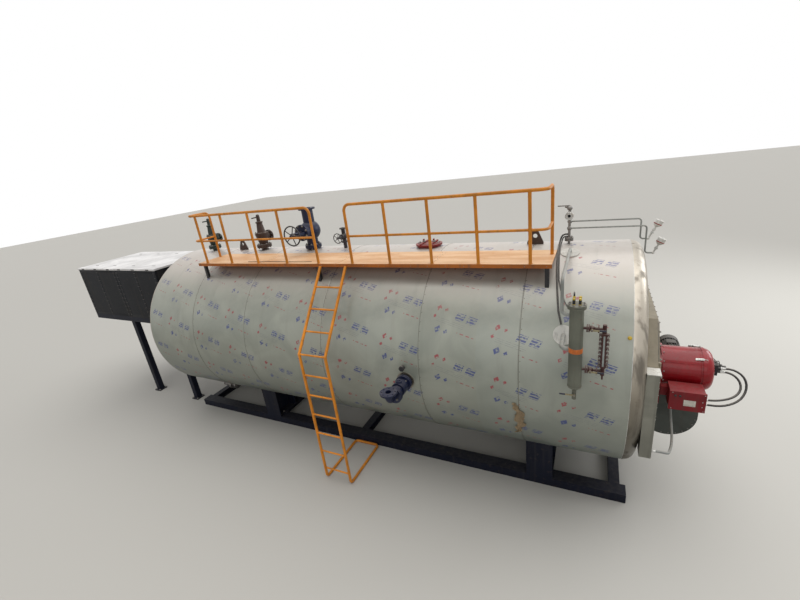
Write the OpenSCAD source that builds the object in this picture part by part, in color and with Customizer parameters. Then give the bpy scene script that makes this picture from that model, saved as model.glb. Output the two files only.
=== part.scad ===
// Industrial fire-tube steam boiler on a skid, with burner, rear economiser and top platform.
// X runs along the boiler towards the burner, the platform side is -Y, Z is up.
// The origin is on the ground, under the shell axis, at mid length.

/* [Shell] */

// Outer diameter of the clad shell
shell_d = 3012; // [2400:10:3600]
// Length of the clad shell over both ends
shell_length = 8610; // [6500:10:11000]
// Height of the shell axis above the ground
axis_z = 1946; // [1700:2:2400]
// Round edge of the front end
front_edge_r = 150; // [60:5:250]
// Round edge of the rear end
rear_edge_r = 60; // [30:5:250]
// Depth of the groove at each cladding seam
seam_depth = 4; // [2:1:10]

/* [Skid] */

// Length of the two long rails
rail_length = 8540; // [6500:10:11000]
// Distance between the outer faces of the rails
rail_span = 1825; // [1400:5:2400]
// Height of a rail
rail_h = 137; // [100:1:260]
// Width of a rail
rail_w = 200; // [120:5:300]
// Width of a cross member
cross_w = 140; // [80:5:260]
// Thickness of the skid's flanges and webs
skid_t = 12; // [8:1:20]
// Length of each saddle along the boiler
saddle_length = 365; // [200:5:600]
// Rear saddle, distance of its middle from mid length
saddle_rear_x = 2090; // [1500:10:3600]
// Front saddle, distance of its middle from mid length
saddle_front_x = 3140; // [1500:10:3600]
// Thickness of the saddle plates
saddle_t = 18; // [10:1:30]

/* [Platform] */

// Height of the deck's top above the ground
deck_z = 3433; // [3300:1:4200]
// Left end of the deck, measured from mid length
deck_left = 2945; // [2000:5:3600]
// Right end of the deck, measured from mid length
deck_right = 3294; // [2000:5:3800]
// Front edge of the deck, measured from the shell axis
deck_front = 970; // [800:5:1300]
// Depth of the deck's front flange
deck_flange = 52; // [30:1:120]
// Thickness of the deck plate
deck_t = 6; // [4:0.5:12]
// Height of the top rail's middle above the deck
guard_h = 868; // [700:2:1200]
// Height of the middle rail above the deck
guard_mid_h = 412; // [300:2:600]
// Diameter of the guard rail tube
guard_d = 42; // [30:1:60]
// Diameter of the middle rail tube
guard_mid_d = 34; // [24:1:50]
// Bend of the top rail at its ends
guard_bend = 95; // [60:5:150]

/* [Ladder] */

// Distance between the middles of the two ladder rails
ladder_w = 469; // [350:1:600]
// Middle of the ladder, measured from mid length
ladder_x = 145; // [-1500:5:2500]
// Distance of the upright ladder rails from the shell axis
ladder_y = 1859; // [1700:1:2300]
// Height of the bend in the ladder rails
ladder_bend_z = 2312; // [1800:1:2900]
// Distance between rungs
rung_pitch = 350; // [250:5:400]
// Diameter of a ladder rail
ladder_rail_d = 44; // [30:1:60]
// Diameter of a rung
rung_d = 28; // [20:1:40]
// Bend of the ladder rails
ladder_bend = 60; // [40:5:100]

/* [Burner] */

// Height of the burner axis
burner_z = 1715; // [1500:5:2100]
// Diameter of the round burner housing
burner_d = 560; // [400:5:900]
// Length of the round burner housing
burner_length = 580; // [400:5:1100]
// Side of the square burner mount
burner_mount_w = 760; // [500:5:1100]
// Depth of the square burner mount
burner_mount_t = 150; // [60:5:300]
// Outer radius of the fan housing
fan_r = 330; // [220:5:450]
// Width of the fan housing
fan_w = 460; // [250:5:700]
// Diameter of a fuel hose
hose_d = 26; // [16:1:40]
// Diameter of the burner motor
motor_d = 270; // [180:5:400]
// Length of the burner motor
motor_length = 430; // [250:5:600]

/* [Smoke box] */

// Width of the front smoke box
smoke_w = 2400; // [1600:10:2700]
// Height of the front smoke box
smoke_h = 1660; // [1200:10:2400]
// Cut of its corners
smoke_cut = 410; // [100:5:700]
// Depth of the front smoke box
smoke_t = 145; // [60:5:400]

/* [Economiser] */

// Length of one economiser unit
eco_unit_length = 1500; // [900:10:2200]
// Width of the economiser
eco_w = 1600; // [1000:10:2400]
// Underside of the economiser
eco_bottom_z = 2050; // [1200:10:2600]
// Height of an economiser unit without its lid
eco_h = 1165; // [700:5:1800]
// Thickness of the lids
eco_lid_t = 35; // [15:1:80]
// Gap between the rear end and the economiser
eco_gap = 370; // [200:5:900]
// Width of an economiser leg
eco_leg_w = 120; // [80:5:200]
// Outer diameter of the flue spigot
flue_d = 620; // [300:5:900]
// Length of the flue spigot
flue_spigot = 90; // [50:5:200]

/* [Fittings] */

// Bolt circle of the steam outlet flange
steam_pcd = 250; // [200:5:320]
// Diameter of the steam outlet flange
steam_flange_d = 300; // [240:5:400]
// Bore of the steam outlet
steam_bore = 150; // [100:2:200]
// Steam valve, distance from mid length
steam_x = 950; // [400:10:1500]
// Diameter of the steam valve's handwheel
steam_wheel_d = 360; // [250:5:500]
// Diameter of the feed flange
feed_flange_d = 230; // [150:5:320]
// Bolt circle of the feed flange
feed_pcd = 180; // [110:5:260]
// Bore of the feed inlet
feed_bore = 80; // [40:2:120]
// Feed nozzle, distance from mid length
feed_x = 1430; // [900:10:2200]
// Height of the feed nozzle
feed_z = 1890; // [1700:5:2300]
// Level column, distance from mid length
column_x = 3600; // [3200:10:3900]
// Level column, distance of its axis from the shell axis
column_y = 1640; // [1580:5:1800]
// Diameter of the level column
column_d = 140; // [80:2:220]
// Underside of the level column
column_bottom_z = 2230; // [1900:5:2500]
// Length of the level column
column_length = 960; // [600:5:1300]
// Height of the lower pipe of the level column
low_tap_z = 2688; // [2500:2:2900]
// Upper pipe of the level column where it leaves the shell, distance from the shell axis
high_tap_y = 351; // [250:1:500]

// Distance from the level column to the gauge
gauge_gap = 265; // [150:5:500]
// Height of the lower gauge cock
cock_low_z = 2460; // [2200:5:2600]
// Height of the upper gauge cock
cock_high_z = 2945; // [2700:5:3200]

/* [Hidden] */

$fn = 64;
pipe_fn = 24;
shell_fn = 360;
shell_r = shell_d / 2;
shell_half = shell_length / 2;
shell_top_z = axis_z + shell_r;
seams = [-2965, -1640, 0, 1640, 2965];
band_front = shell_half - front_edge_r;
band_rear = -shell_half + rear_edge_r;
band_ends = concat([band_rear], seams, [band_front]);
rail_y = rail_span / 2;
deck_underside_z = deck_z - deck_t;
deck_rear = sqrt(shell_r * shell_r - pow(deck_underside_z - axis_z, 2));
deck_length = deck_left + deck_right;
guard_y = deck_front - 25;
guard_top_z = deck_z + guard_h;
guard_mid_z = deck_z + guard_mid_h;
guard_pitch = 640;
guard_return_y = 490;
guard_left = -deck_left + 45;
guard_right = deck_right - 45;
guard_open_left = -147;
guard_open_right = 485;
ladder_top_z = deck_underside_z - 30;
ladder_top_y = deck_front + ladder_rail_d / 2;
smoke_z = axis_z - 40;
smoke_x = shell_half + smoke_t;
burner_x = smoke_x + burner_mount_t;
burner_end_x = burner_x + burner_length;
burner_shoulder = 95;
burner_bead = 34;
burner_bead_t = 10;
fan_x = burner_x + 130;
fan_z = burner_z - 619;
eco_front_x = -shell_half - eco_gap;
eco_top_z = eco_bottom_z + eco_h;
manifold_x = 3420;
manifold_h = 210;
sense_d = 20;
sense_pipes = [[0, manifold_h], [60, manifold_h + 81]];
sensor_lean = 26;
rosette_d = 230;
sensor_foot_d = 34;
manhole_x = 1360;
lug_rear_x = 2750;
lug_front_x = 2980;
steam_rise = 342;
steam_stem_z = shell_top_z + steam_rise;
vent_x = 240;
vent_rise = 210;
vent_stem_z = shell_top_z + vent_rise;
feed_reach = 510;
feed_rise = 134;
hose_heights = [50, 98];
hose_route_1 = [[5260, -85, 1793], [5300, -85, 1793], [5345, -88, 1795], [5390, -95, 1790],
  [5430, -106, 1775], [5465, -120, 1752], [5492, -137, 1722], [5510, -156, 1686], [5518, -178, 1645],
  [5516, -202, 1603], [5504, -228, 1562], [5484, -256, 1526], [5456, -286, 1496], [5420, -316, 1474],
  [5378, -346, 1459], [5332, -374, 1449], [5284, -398, 1443], [5234, -416, 1440], [5184, -427, 1440],
  [5134, -430, 1440], [5090, -430, 1440], [5045, -430, 1440]];
hose_route_2 = [[5260, -85, 1745], [5300, -85, 1745], [5340, -90, 1742], [5378, -101, 1732],
  [5411, -117, 1714], [5437, -137, 1690], [5454, -161, 1661], [5461, -188, 1630], [5457, -217, 1601],
  [5443, -247, 1575], [5420, -277, 1554], [5389, -307, 1538], [5352, -335, 1527], [5310, -361, 1519],
  [5265, -384, 1514], [5217, -404, 1511], [5168, -419, 1510], [5120, -428, 1510], [5080, -430, 1510],
  [5045, -430, 1510]];
conduit_d = 30;
conduit_route = [[4725, -440, 1410], [4725, -440, 1370], [4725, -441, 1325], [4727, -446, 1275],
  [4731, -460, 1225], [4736, -483, 1176], [4740, -515, 1130], [4742, -553, 1087], [4742, -600, 1049],
  [4738, -655, 1019], [4730, -715, 1001], [4718, -777, 995], [4703, -840, 1000], [4687, -902, 1015],
  [4671, -962, 1038], [4655, -1019, 1068], [4640, -1073, 1103], [4624, -1122, 1139], [4606, -1165, 1172],
  [4583, -1202, 1202], [4554, -1232, 1227], [4520, -1254, 1245], [4484, -1268, 1256], [4453, -1275, 1260],
  [4425, -1275, 1260]];
gauge_x = column_x + gauge_gap;
tap_back = 143;
cable_lift = 1.5;
cock_x = (column_x + column_d / 2 + gauge_x) / 2 - 20;

// Height of the clad surface at distance y from the shell axis
function shell_z(y) = axis_z + sqrt(shell_r * shell_r - y * y);
// Distance of the clad surface from the shell axis at height z
function shell_y(z) = sqrt(shell_r * shell_r - pow(z - axis_z, 2));

module along_x(x, h, r) {
  translate([x, 0, 0])
    rotate([0, 90, 0])
      cylinder(h=h, r=r);
}

// A pipe that runs straight from one point to another
module tube(a, b, d, sides=pipe_fn) {
  v = b - a;
  length = norm(v);
  turn = atan2(v[1], v[0]);
  tilt = acos(v[2] / length);
  translate(a)
    rotate([0, tilt, turn])
      cylinder(h=length, d=d, $fn=sides);
}

function unit(v) = v / norm(v);

// One bend round the corner p, between the directions u and v
module elbow(p, u, v, d, bend) {
  turn = acos(u * v);
  inward = unit(v - u * (u * v));
  start = p - u * bend * tan(turn / 2);
  side = cross(-inward, u);
  centre = start + inward * bend;
  multmatrix([for (i = [0:2]) [-inward[i], u[i], side[i], centre[i]]])
    rotate_extrude(angle=turn)
      translate([bend, 0])
        circle(d=d, $fn=pipe_fn);
}

// A bent pipe through the points, with the same bend at each corner
module pipe(points, d, bend) {
  last = len(points) - 1;
  dirs = [for (i = [0:last - 1]) unit(points[i + 1] - points[i])];
  cuts = [for (i = [0:last]) i == 0 || i == last ? 0 : bend * tan(acos(dirs[i - 1] * dirs[i]) / 2)];
  for (i = [0:last - 1])
    tube(points[i] + dirs[i] * cuts[i], points[i + 1] - dirs[i] * cuts[i + 1], d);
  for (i = [1:1:last - 1])
    elbow(points[i], dirs[i - 1], dirs[i], d, bend);
}

// The corners of a round section at each point of a route; aside is never along the route
function sections(points, d, sides, aside) =
  let (last = len(points) - 1)
  [for (i = [0:last])
    let (
      ahead = unit(points[min(i + 1, last)] - points[max(i - 1, 0)]),
      u = unit(cross(ahead, aside)),
      v = cross(u, ahead)
    )
    for (k = [0:sides - 1])
      points[i] + d / 2 * (u * cos(k * 360 / sides) + v * sin(k * 360 / sides))];

// A hose or cable of many short lengths along a route
module sweep(points, d, sides, aside) {
  rings = len(points);
  polyhedron(sections(points, d, sides, aside), concat(
    [[for (k = [0:sides - 1]) sides - 1 - k]],
    [[for (k = [0:sides - 1]) (rings - 1) * sides + k]],
    [for (i = [0:rings - 2], k = [0:sides - 1], half = [0, 1])
      let (a = i * sides + k, b = i * sides + (k + 1) % sides)
      half == 0 ? [a, b, a + sides] : [b, b + sides, a + sides]]));
}

// A disc or a stack of discs with its axis towards -Y, from [distance, thickness, diameter] rows
module discs_y(rows, sides=pipe_fn * 2) {
  for (r = rows)
    translate([0, -r[0], 0])
      rotate([90, 0, 0])
        cylinder(h=r[1], d=r[2], $fn=sides);
}

module rounded_rect(w, h, r) {
  square([w - 2 * r, h], center=true);
  square([w, h - 2 * r], center=true);
  for (x = [-1, 1])
    for (y = [-1, 1])
      translate([x * (w / 2 - r), y * (h / 2 - r)])
        circle(r=r);
}

// A drilled flange with its axis along Z, standing on its place
module flange(d, t, bore, pcd, count, hole) {
  difference() {
    cylinder(h=t, d=d);
    translate([0, 0, -1])
      cylinder(h=t + 2, d=bore);
    for (i = [0:count - 1])
      rotate([0, 0, (i + 0.5) * 360 / count])
        translate([pcd / 2, 0, -1])
          cylinder(h=t + 2, d=hole, $fn=pipe_fn);
  }
}

// The closed body of the boiler, for cutting seats to its surface
module shell_cut() {
  translate([0, 0, axis_z])
    along_x(-shell_half, shell_length, shell_r, $fn=shell_fn);
}

module base_rails() {
  color([0.07, 0.10, 0.22])
    for (side = [-1, 1])
      translate([-rail_length / 2, side * (rail_y - rail_w / 2), rail_h / 2])
        rotate([90, 0, 90])
          linear_extrude(height=rail_length)
            difference() {
              square([rail_w, rail_h], center=true);
              translate([-side * skid_t, 0])
                square([rail_w, rail_h - 2 * skid_t], center=true);
            }
}

module cross_members() {
  inner = rail_span - 2 * rail_w;
  recess = (cross_w - skid_t) / 2;
  color([0.07, 0.10, 0.22])
    for (x = [-rail_length / 2 + cross_w, -saddle_rear_x, 0, saddle_front_x, rail_length / 2 - cross_w])
      translate([x, inner / 2, rail_h / 2])
        rotate([90, 0, 0])
          linear_extrude(height=inner)
            difference() {
              square([cross_w, rail_h], center=true);
              for (s = [-1, 1])
                translate([s * (skid_t + recess) / 2, 0])
                  square([recess, rail_h - 2 * skid_t], center=true);
            }
}

// A sole plate, a cross web with ribs, and a curved plate that carries the shell
module saddles() {
  rise = axis_z - shell_r / 2 - rail_h;
  rib_pitch = (rail_span - saddle_t) / 4;
  color([0.06, 0.09, 0.24])
    for (x = [-saddle_rear_x, saddle_front_x])
      difference() {
        translate([x, 0, rail_h]) {
          translate([-saddle_length / 2, -rail_y, 0])
            cube([saddle_length, rail_span, saddle_t]);
          translate([-saddle_t / 2, -rail_y, 0])
            cube([saddle_t, rail_span, rise]);
          for (i = [-2:2])
            translate([-saddle_length / 2, i * rib_pitch - saddle_t / 2, 0])
              cube([saddle_length, saddle_t, rise]);
          intersection() {
            translate([-saddle_length / 2, -rail_y, 0])
              cube([saddle_length, rail_span, rise]);
            translate([0, 0, axis_z - rail_h])
              along_x(-saddle_length, saddle_length * 2, shell_r + saddle_t, $fn=shell_fn);
          }
        }
        shell_cut();
      }
}

// One band of cladding round the closed body, with half a groove at each seam
module shell_band(i) {
  a = band_ends[i];
  h = band_ends[i + 1] - a;
  lower = i == 0 ? 0 : seam_depth;
  upper = i == len(band_ends) - 2 ? 0 : seam_depth;
  color([0.72, 0.77, 0.74])
    translate([a, 0, axis_z])
      rotate([0, 90, 0])
        rotate_extrude($fn=shell_fn)
          polygon([[0, 0], [shell_r - lower, 0], [shell_r, lower * 2], [shell_r, h - upper * 2],
            [shell_r - upper, h], [0, h]]);
}

module end_cap(edge_r) {
  rotate([0, 90, 0])
    rotate_extrude($fn=shell_fn)
      union() {
        square([shell_r - edge_r, edge_r]);
        translate([shell_r - edge_r, 0])
          intersection() {
            circle(r=edge_r);
            square(edge_r);
          }
      }
}

module rear_end() {
  door_d = 620;
  color([0.62, 0.65, 0.62])
    translate([-shell_half + rear_edge_r, 0, axis_z])
      mirror([1, 0, 0]) {
        end_cap(rear_edge_r);
        translate([rear_edge_r, 0, -shell_r / 2])
          rotate([0, 90, 0]) {
            cylinder(h=60, d=door_d);
            translate([0, 0, 60])
              cylinder(h=30, d=door_d + 100);
          }
      }
}

module front_end() {
  color([0.62, 0.65, 0.62])
    translate([shell_half - front_edge_r, 0, axis_z])
      end_cap(front_edge_r);
}

// The flat box with cut corners, and two bolted doors that meet above the burner
module smoke_box() {
  door_t = 25;
  door_gap = 10;
  inset = 60;
  hinge_d = 36;
  color([0.60, 0.57, 0.50])
    translate([shell_half, 0, smoke_z])
      rotate([90, 0, 90]) {
        linear_extrude(height=smoke_t - door_t)
          cut_corners(smoke_w, smoke_h, smoke_cut);
        difference() {
          linear_extrude(height=smoke_t)
            cut_corners(smoke_w - 2 * inset, smoke_h - 2 * inset, smoke_cut - inset / 2);
          translate([-door_gap / 2, -smoke_h / 2, smoke_t - door_t])
            cube([door_gap, smoke_h, door_t * 2]);
        }
        for (x = [-1, 1])
          for (y = [-1, 1])
            translate([x * (smoke_w / 2 - inset), y * (smoke_h / 2 - smoke_cut - 40) - 70, smoke_t - door_t / 2])
              rotate([-90, 0, 0])
                cylinder(h=140, d=hinge_d, $fn=pipe_fn);
      }
}

// A rectangle with its four corners cut at 45 degrees
module cut_corners(w, h, c) {
  x = w / 2;
  y = h / 2;
  polygon([[x, y - c], [x - c, y], [c - x, y], [-x, y - c], [-x, c - y], [c - x, -y], [x - c, -y], [x, c - y]]);
}

module cable_trunking() {
  w = 150;
  t = 120;
  color([0.55, 0.57, 0.56])
    translate([shell_half, -smoke_w / 2 - w, 1200])
      cube([t, w, 1090]);
  color([0.90, 0.90, 0.86])
    translate([shell_half, -smoke_w / 2 - w - 10, 2290])
      cube([t + 12, w + 10, 24]);
}

module burner_mount() {
  w = burner_mount_w;
  color([0.62, 0.07, 0.09])
    translate([smoke_x, 0, burner_z - w * 0.13])
      rotate([90, 0, 90]) {
        linear_extrude(height=burner_mount_t)
          rounded_rect(w - 80, w - 80, 60);
        linear_extrude(height=24)
          rounded_rect(w, w, 40);
      }
}

// A round housing with a bead near its end and a rounded shoulder
module burner_housing() {
  shoulder = burner_shoulder;
  bead = burner_bead;
  r = burner_d / 2;
  color([0.72, 0.08, 0.11])
    translate([burner_x, 0, burner_z])
      rotate([0, 90, 0])
        rotate_extrude()
          union() {
            square([r, burner_length - shoulder]);
            square([r - shoulder, burner_length]);
            intersection() {
              translate([r - shoulder, burner_length - shoulder])
                circle(r=shoulder);
              square([r, burner_length]);
            }
            translate([0, burner_length - shoulder - bead])
              square([r + burner_bead_t, bead]);
            square([r + 25, 20]);
          }
}

// The room that the housing and its bead take, for cutting seats to them
module burner_cut() {
  translate([0, 0, burner_z]) {
    along_x(burner_x - 10, burner_length, burner_d / 2);
    along_x(burner_end_x - burner_shoulder - burner_bead, burner_bead, burner_d / 2 + burner_bead_t);
    along_x(burner_x, 20, burner_d / 2 + 25);
  }
}

module control_box() {
  w = 370;
  h = 255;
  depth = 230;
  lid = 24;
  color([0.72, 0.08, 0.11])
    difference() {
      translate([burner_x + 75, -burner_d / 2, burner_z - 305]) {
        translate([0, -depth - 40, 0])
          cube([w, depth, h]);
        translate([-6, -depth - 40 - lid, -6])
          cube([w + 12, lid, h + 12]);
        translate([40, -40, 60])
          cube([w - 80, 60, 120]);
        translate([-75, -90, 60])
          cube([75, 90, 130]);
      }
      burner_cut();
    }
}

module fan_outline(extra) {
  translate([fan_x, fan_z])
    circle(r=fan_r + extra);
  translate([fan_x - fan_r - extra, fan_z])
    square([2 * (fan_r + extra), burner_z - 120 - fan_z]);
}

// The fan's rounded housing below the burner, with a rim at each side and an inlet on the far side
module fan_housing() {
  rim_t = 14;
  inlet_d = 330;
  color([0.20, 0.21, 0.21])
    difference() {
      translate([0, fan_w / 2, 0])
        rotate([90, 0, 0]) {
          linear_extrude(height=fan_w)
            fan_outline(0);
          for (y = [0, fan_w - rim_t])
            translate([0, 0, y])
              linear_extrude(height=rim_t)
                fan_outline(14);
          translate([fan_x, fan_z, -50])
            cylinder(h=60, d=inlet_d);
        }
      burner_cut();
      translate([burner_x - 1000, -burner_mount_w, fan_z - 600])
        cube([1000, burner_mount_w * 2, 1600]);
      translate([smoke_x, -burner_mount_w / 2, burner_z - burner_mount_w * 0.63])
        cube([burner_mount_t, burner_mount_w, burner_mount_w]);
    }
}

// A finned motor on the far side of the burner, with a smooth fan cover at its end
module burner_motor() {
  fins = 24;
  fin_t = 6;
  fin_h = 14;
  cover = 110;
  cover_step = 2;
  core_d = motor_d - 2 * fin_h - 2 * cover_step;
  x = burner_x + 190;
  y = burner_d / 2 - 20;
  color([0.08, 0.08, 0.09])
    difference() {
      translate([x, y, burner_z + 20])
        rotate([-90, 0, 0]) {
          cylinder(h=motor_length, d=core_d);
          translate([0, 0, motor_length - cover])
            cylinder(h=cover, d=motor_d);
          for (i = [0:fins - 1])
            rotate([0, 0, i * 360 / fins])
              translate([core_d / 2 - 4, -fin_t / 2, 60])
                cube([fin_h + 4, fin_t, motor_length - cover - 60]);
          cylinder(h=60, d=motor_d);
        }
      burner_cut();
    }
}

module gas_valve() {
  x = burner_x + 465;
  y = burner_d / 2;
  color([0.70, 0.70, 0.68])
    difference() {
      translate([x, y - 60, burner_z + 60]) {
        rotate([-90, 0, 0])
          cylinder(h=230, d=110);
        for (along = [70, 200])
          translate([-70, along, -70])
            cube([140, 20, 140]);
        translate([0, 140, 0])
          cylinder(h=110, d=80);
      }
      burner_cut();
    }
}

module nozzle_block() {
  color([0.09, 0.09, 0.10])
    translate([burner_end_x, -110, burner_z - 20]) {
      cube([50, 150, 150]);
      translate([50, 100, 75])
        rotate([0, 90, 0]) {
          cylinder(h=60, d=80);
          translate([0, 0, 60])
            cylinder(h=40, d=50);
        }
      for (z = hose_heights)
        translate([50, 25, z])
          rotate([0, 90, 0])
            cylinder(h=30, d=hose_d + 10, $fn=pipe_fn);
    }
}

// Two hoses loop from the nozzle block back to the control box
module burner_hose_1() {
  color([0.12, 0.12, 0.12])
    sweep(hose_route_1, hose_d, 10, [0, 0.85, -0.5]);
}

module burner_hose_2() {
  color([0.12, 0.12, 0.12])
    sweep(hose_route_2, hose_d, 10, [0, 0.85, -0.5]);
}

// A flexible conduit hangs between the control box and the trunking
module control_conduit() {
  color([0.45, 0.46, 0.45])
    sweep(conduit_route, conduit_d, 10, [1, -1, 0]);
}

module economiser_unit(i) {
  joint_t = 12;
  color([0.10, 0.11, 0.17])
    translate([eco_front_x - (i + 1) * eco_unit_length, -eco_w / 2, eco_bottom_z]) {
      cube([eco_unit_length - (i == 0 ? 0 : 6), eco_w, eco_h]);
      if (i == 1)
        translate([0, eco_w / 2, eco_h / 2])
          rotate([0, -90, 0])
            difference() {
              union() {
                cylinder(h=flue_spigot, d=flue_d);
                cylinder(h=joint_t, d=flue_d + 120);
              }
              cylinder(h=flue_spigot + 1, d=flue_d - 12);
            }
    }
}

module economiser_unit_1() {
  economiser_unit(0);
}

module economiser_unit_2() {
  economiser_unit(1);
}

module economiser_lids() {
  color([0.82, 0.82, 0.80])
    for (i = [0:1])
      translate([eco_front_x - (i + 1) * eco_unit_length - (i == 0 ? 0 : 12), -eco_w / 2 - 12, eco_top_z])
        cube([eco_unit_length + (i == 0 ? 12 : 0), eco_w + 24, eco_lid_t]);
}

module economiser_stand() {
  w = eco_leg_w;
  l = eco_unit_length * 2;
  stations = [-w, -eco_unit_length - w / 2];
  color([0.08, 0.09, 0.13])
    translate([eco_front_x, 0, 0]) {
      for (x = stations)
        for (y = [-eco_w / 2, eco_w / 2 - w])
          translate([x, y, 0])
            {
              cube([w, w, eco_bottom_z - w]);
              translate([-40, -40, 0])
                cube([w + 80, w + 80, 20]);
            }
      for (y = [-eco_w / 2, eco_w / 2 - w])
        translate([-l, y, eco_bottom_z - w])
          cube([l, w, w]);
      for (x = concat(stations, [-l]))
        translate([x, -eco_w / 2, eco_bottom_z - w])
          cube([w, eco_w, w]);
    }
}

module flue_link() {
  color([0.12, 0.13, 0.17])
    translate([eco_front_x, -eco_w / 2 + 150, eco_bottom_z + 120])
      cube([eco_gap, eco_w - 300, eco_h - 320]);
}

module deck_plate() {
  color([0.86, 0.50, 0.22])
    union() {
      translate([-deck_left, -deck_front, deck_underside_z])
        cube([deck_length, deck_front - deck_rear, deck_t]);
      translate([-deck_left, -deck_front, deck_z - deck_flange])
        cube([deck_length, deck_t, deck_flange]);
    }
}

module deck_posts() {
  w = 50;
  y = deck_front - 60;
  color([0.05, 0.05, 0.05])
    difference() {
      for (x = [-deck_left + 100, -200, deck_right - 60])
        translate([x - w / 2, -y - w / 2, shell_z(y) - 40])
          cube([w, w, deck_underside_z - shell_z(y) + 40]);
      shell_cut();
    }
}

module guard_post_at(x, y) {
  translate([x, -y, deck_z])
    cylinder(h=guard_h, d=guard_d, $fn=pipe_fn);
}

module guard_post_row() {
  for (x0 = [guard_open_left, guard_open_right])
    for (i = [1:4])
      guard_post_at(x0 + (x0 < ladder_x ? -1 : 1) * i * guard_pitch, guard_y);
}

// The top tube, which bends down into a post at each end
module guard_run(x0, x1) {
  pipe([[x0, -guard_y, deck_z], [x0, -guard_y, guard_top_z], [x1, -guard_y, guard_top_z],
    [x1, -guard_return_y, guard_top_z], [x1, -guard_return_y, deck_z]], guard_d, guard_bend);
}

module guard_runs() {
  guard_run(guard_open_left, guard_left);
  guard_run(guard_open_right, guard_right);
}

module guard_posts() {
  color([0.85, 0.48, 0.13])
    difference() {
      guard_post_row();
      guard_runs();
    }
}

module guard_rails() {
  color([0.85, 0.48, 0.13]) {
    guard_runs();
    difference() {
      for (p = [[guard_open_left, guard_left], [guard_open_right, guard_right]])
        pipe([[p[0], -guard_y, guard_mid_z], [p[1], -guard_y, guard_mid_z], [p[1], -guard_return_y, guard_mid_z]],
          guard_mid_d, guard_bend);
      guard_post_row();
    }
  }
}

// One bent tube: two rails that lean on the deck, and a foot that runs back over the ground to the skid
module ladder_frame() {
  back_y = rail_y + ladder_rail_d / 2;
  foot_z = ladder_rail_d / 2;
  xl = ladder_x - ladder_w / 2;
  xr = ladder_x + ladder_w / 2;
  pipe([[xl, -ladder_y, ladder_bend_z], [xl, -ladder_y, foot_z], [xl, -back_y, foot_z],
    [xr, -back_y, foot_z], [xr, -ladder_y, foot_z], [xr, -ladder_y, ladder_bend_z]], ladder_rail_d, ladder_bend);
  for (x = [xl, xr]) {
    translate([x, -ladder_y, ladder_bend_z])
      sphere(d=ladder_rail_d + 2);
    tube([x, -ladder_y, ladder_bend_z], [x, -ladder_top_y, ladder_top_z], ladder_rail_d);
  }
}

module ladder_rails() {
  color([0.90, 0.52, 0.15])
    ladder_frame();
}

module ladder_rungs() {
  low_rungs = floor((ladder_bend_z - 100) / rung_pitch);
  slope = unit([0, ladder_y - ladder_top_y, ladder_top_z - ladder_bend_z]);
  length = ladder_w - ladder_rail_d;
  color([0.90, 0.52, 0.15])
    for (i = [-3:low_rungs])
      translate([ladder_x - length / 2, -ladder_y, ladder_bend_z]
        + (i < 0 ? -i * rung_pitch * slope : [0, 0, -i * rung_pitch]))
        along_x(i == 0 ? 1 : 0, i == 0 ? length - 2 : length, rung_d / 2, $fn=pipe_fn);
}

// A spring-loaded valve with a flanged outlet towards +Y and a lifting lever on its cap
module safety_valve(x, d, top) {
  neck = d * 0.28;
  outlet_z = top * 0.36;
  translate([x, 0, shell_top_z])
    difference() {
      union() {
        rotate_extrude()
          polygon([[0, -20], [neck, -20], [neck, 50], [d * 0.62, 50], [d * 0.62, 76], [d * 0.6, 78],
            [d * 0.6, 82], [d * 0.62, 84], [d * 0.62, 110], [d * 0.36, 118], [d * 0.42, outlet_z - 60],
            [d * 0.5, outlet_z + 10], [d * 0.56, outlet_z + 60], [d * 0.56, outlet_z + 88], [d * 0.34, outlet_z + 100],
            [d * 0.24, top - 170], [d * 0.3, top - 160], [d * 0.3, top - 140], [d * 0.16, top - 130],
            [d * 0.14, top - 20], [d * 0.09, top], [0, top]]);
        translate([0, 0, outlet_z])
          rotate([-90, 0, 0]) {
            cylinder(h=d * 0.75, d=d * 0.55);
            translate([0, 0, d * 0.75])
              cylinder(h=24, d=d * 0.95);
          }
        translate([-8, -d * 0.7, top - 60])
          cube([16, d * 0.7, 22]);
      }
      translate([-x, 0, axis_z - shell_top_z])
        along_x(-shell_half, shell_length, shell_r, $fn=shell_fn);
    }
}

module safety_valve_1() {
  color([0.10, 0.14, 0.12])
    safety_valve(-3600, 200, 680);
}

module safety_valve_2() {
  color([0.20, 0.12, 0.10])
    safety_valve(-2170, 230, 690);
}

// A globe valve on a neck from the shell: bonnet, yoke and stem point to -Y
module globe_valve(rise, bore, flange_d, body_d, top, stem_d, reach) {
  flange_t = flange_d * 0.09;
  low = body_d * 0.72;
  bonnet_d = body_d * 0.62;
  yoke = reach * 0.86;
  difference() {
    union() {
      translate([0, 0, -rise - 20])
        cylinder(h=rise, d=bore * 1.3);
      translate([0, 0, -low - 2 * flange_t - 3])
        cylinder(h=flange_t, d=flange_d);
      translate([0, 0, -low - flange_t])
        cylinder(h=flange_t, d=flange_d);
      translate([0, 0, -low])
        cylinder(h=low + top - flange_t, d=bore * 1.35);
      sphere(d=body_d);
      rotate([90, 0, 0]) {
        cylinder(h=body_d * 0.62, d=bonnet_d);
        translate([0, 0, body_d * 0.62])
          cylinder(h=flange_t * 1.6, d=bonnet_d * 1.3);
        cylinder(h=yoke, d=stem_d * 2);
        cylinder(h=reach + stem_d * 1.6, d=stem_d, $fn=pipe_fn);
        for (x = [-1, 1])
          translate([x * bonnet_d * 0.38 - stem_d * 0.4, -stem_d * 0.6, body_d * 0.62])
            cube([stem_d * 0.8, stem_d * 1.2, yoke - body_d * 0.62]);
        translate([-bonnet_d * 0.42, -stem_d * 0.8, yoke - stem_d])
          cube([bonnet_d * 0.84, stem_d * 1.6, stem_d]);
      }
    }
    cylinder(h=top + 10, d=bore);
  }
}

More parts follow.
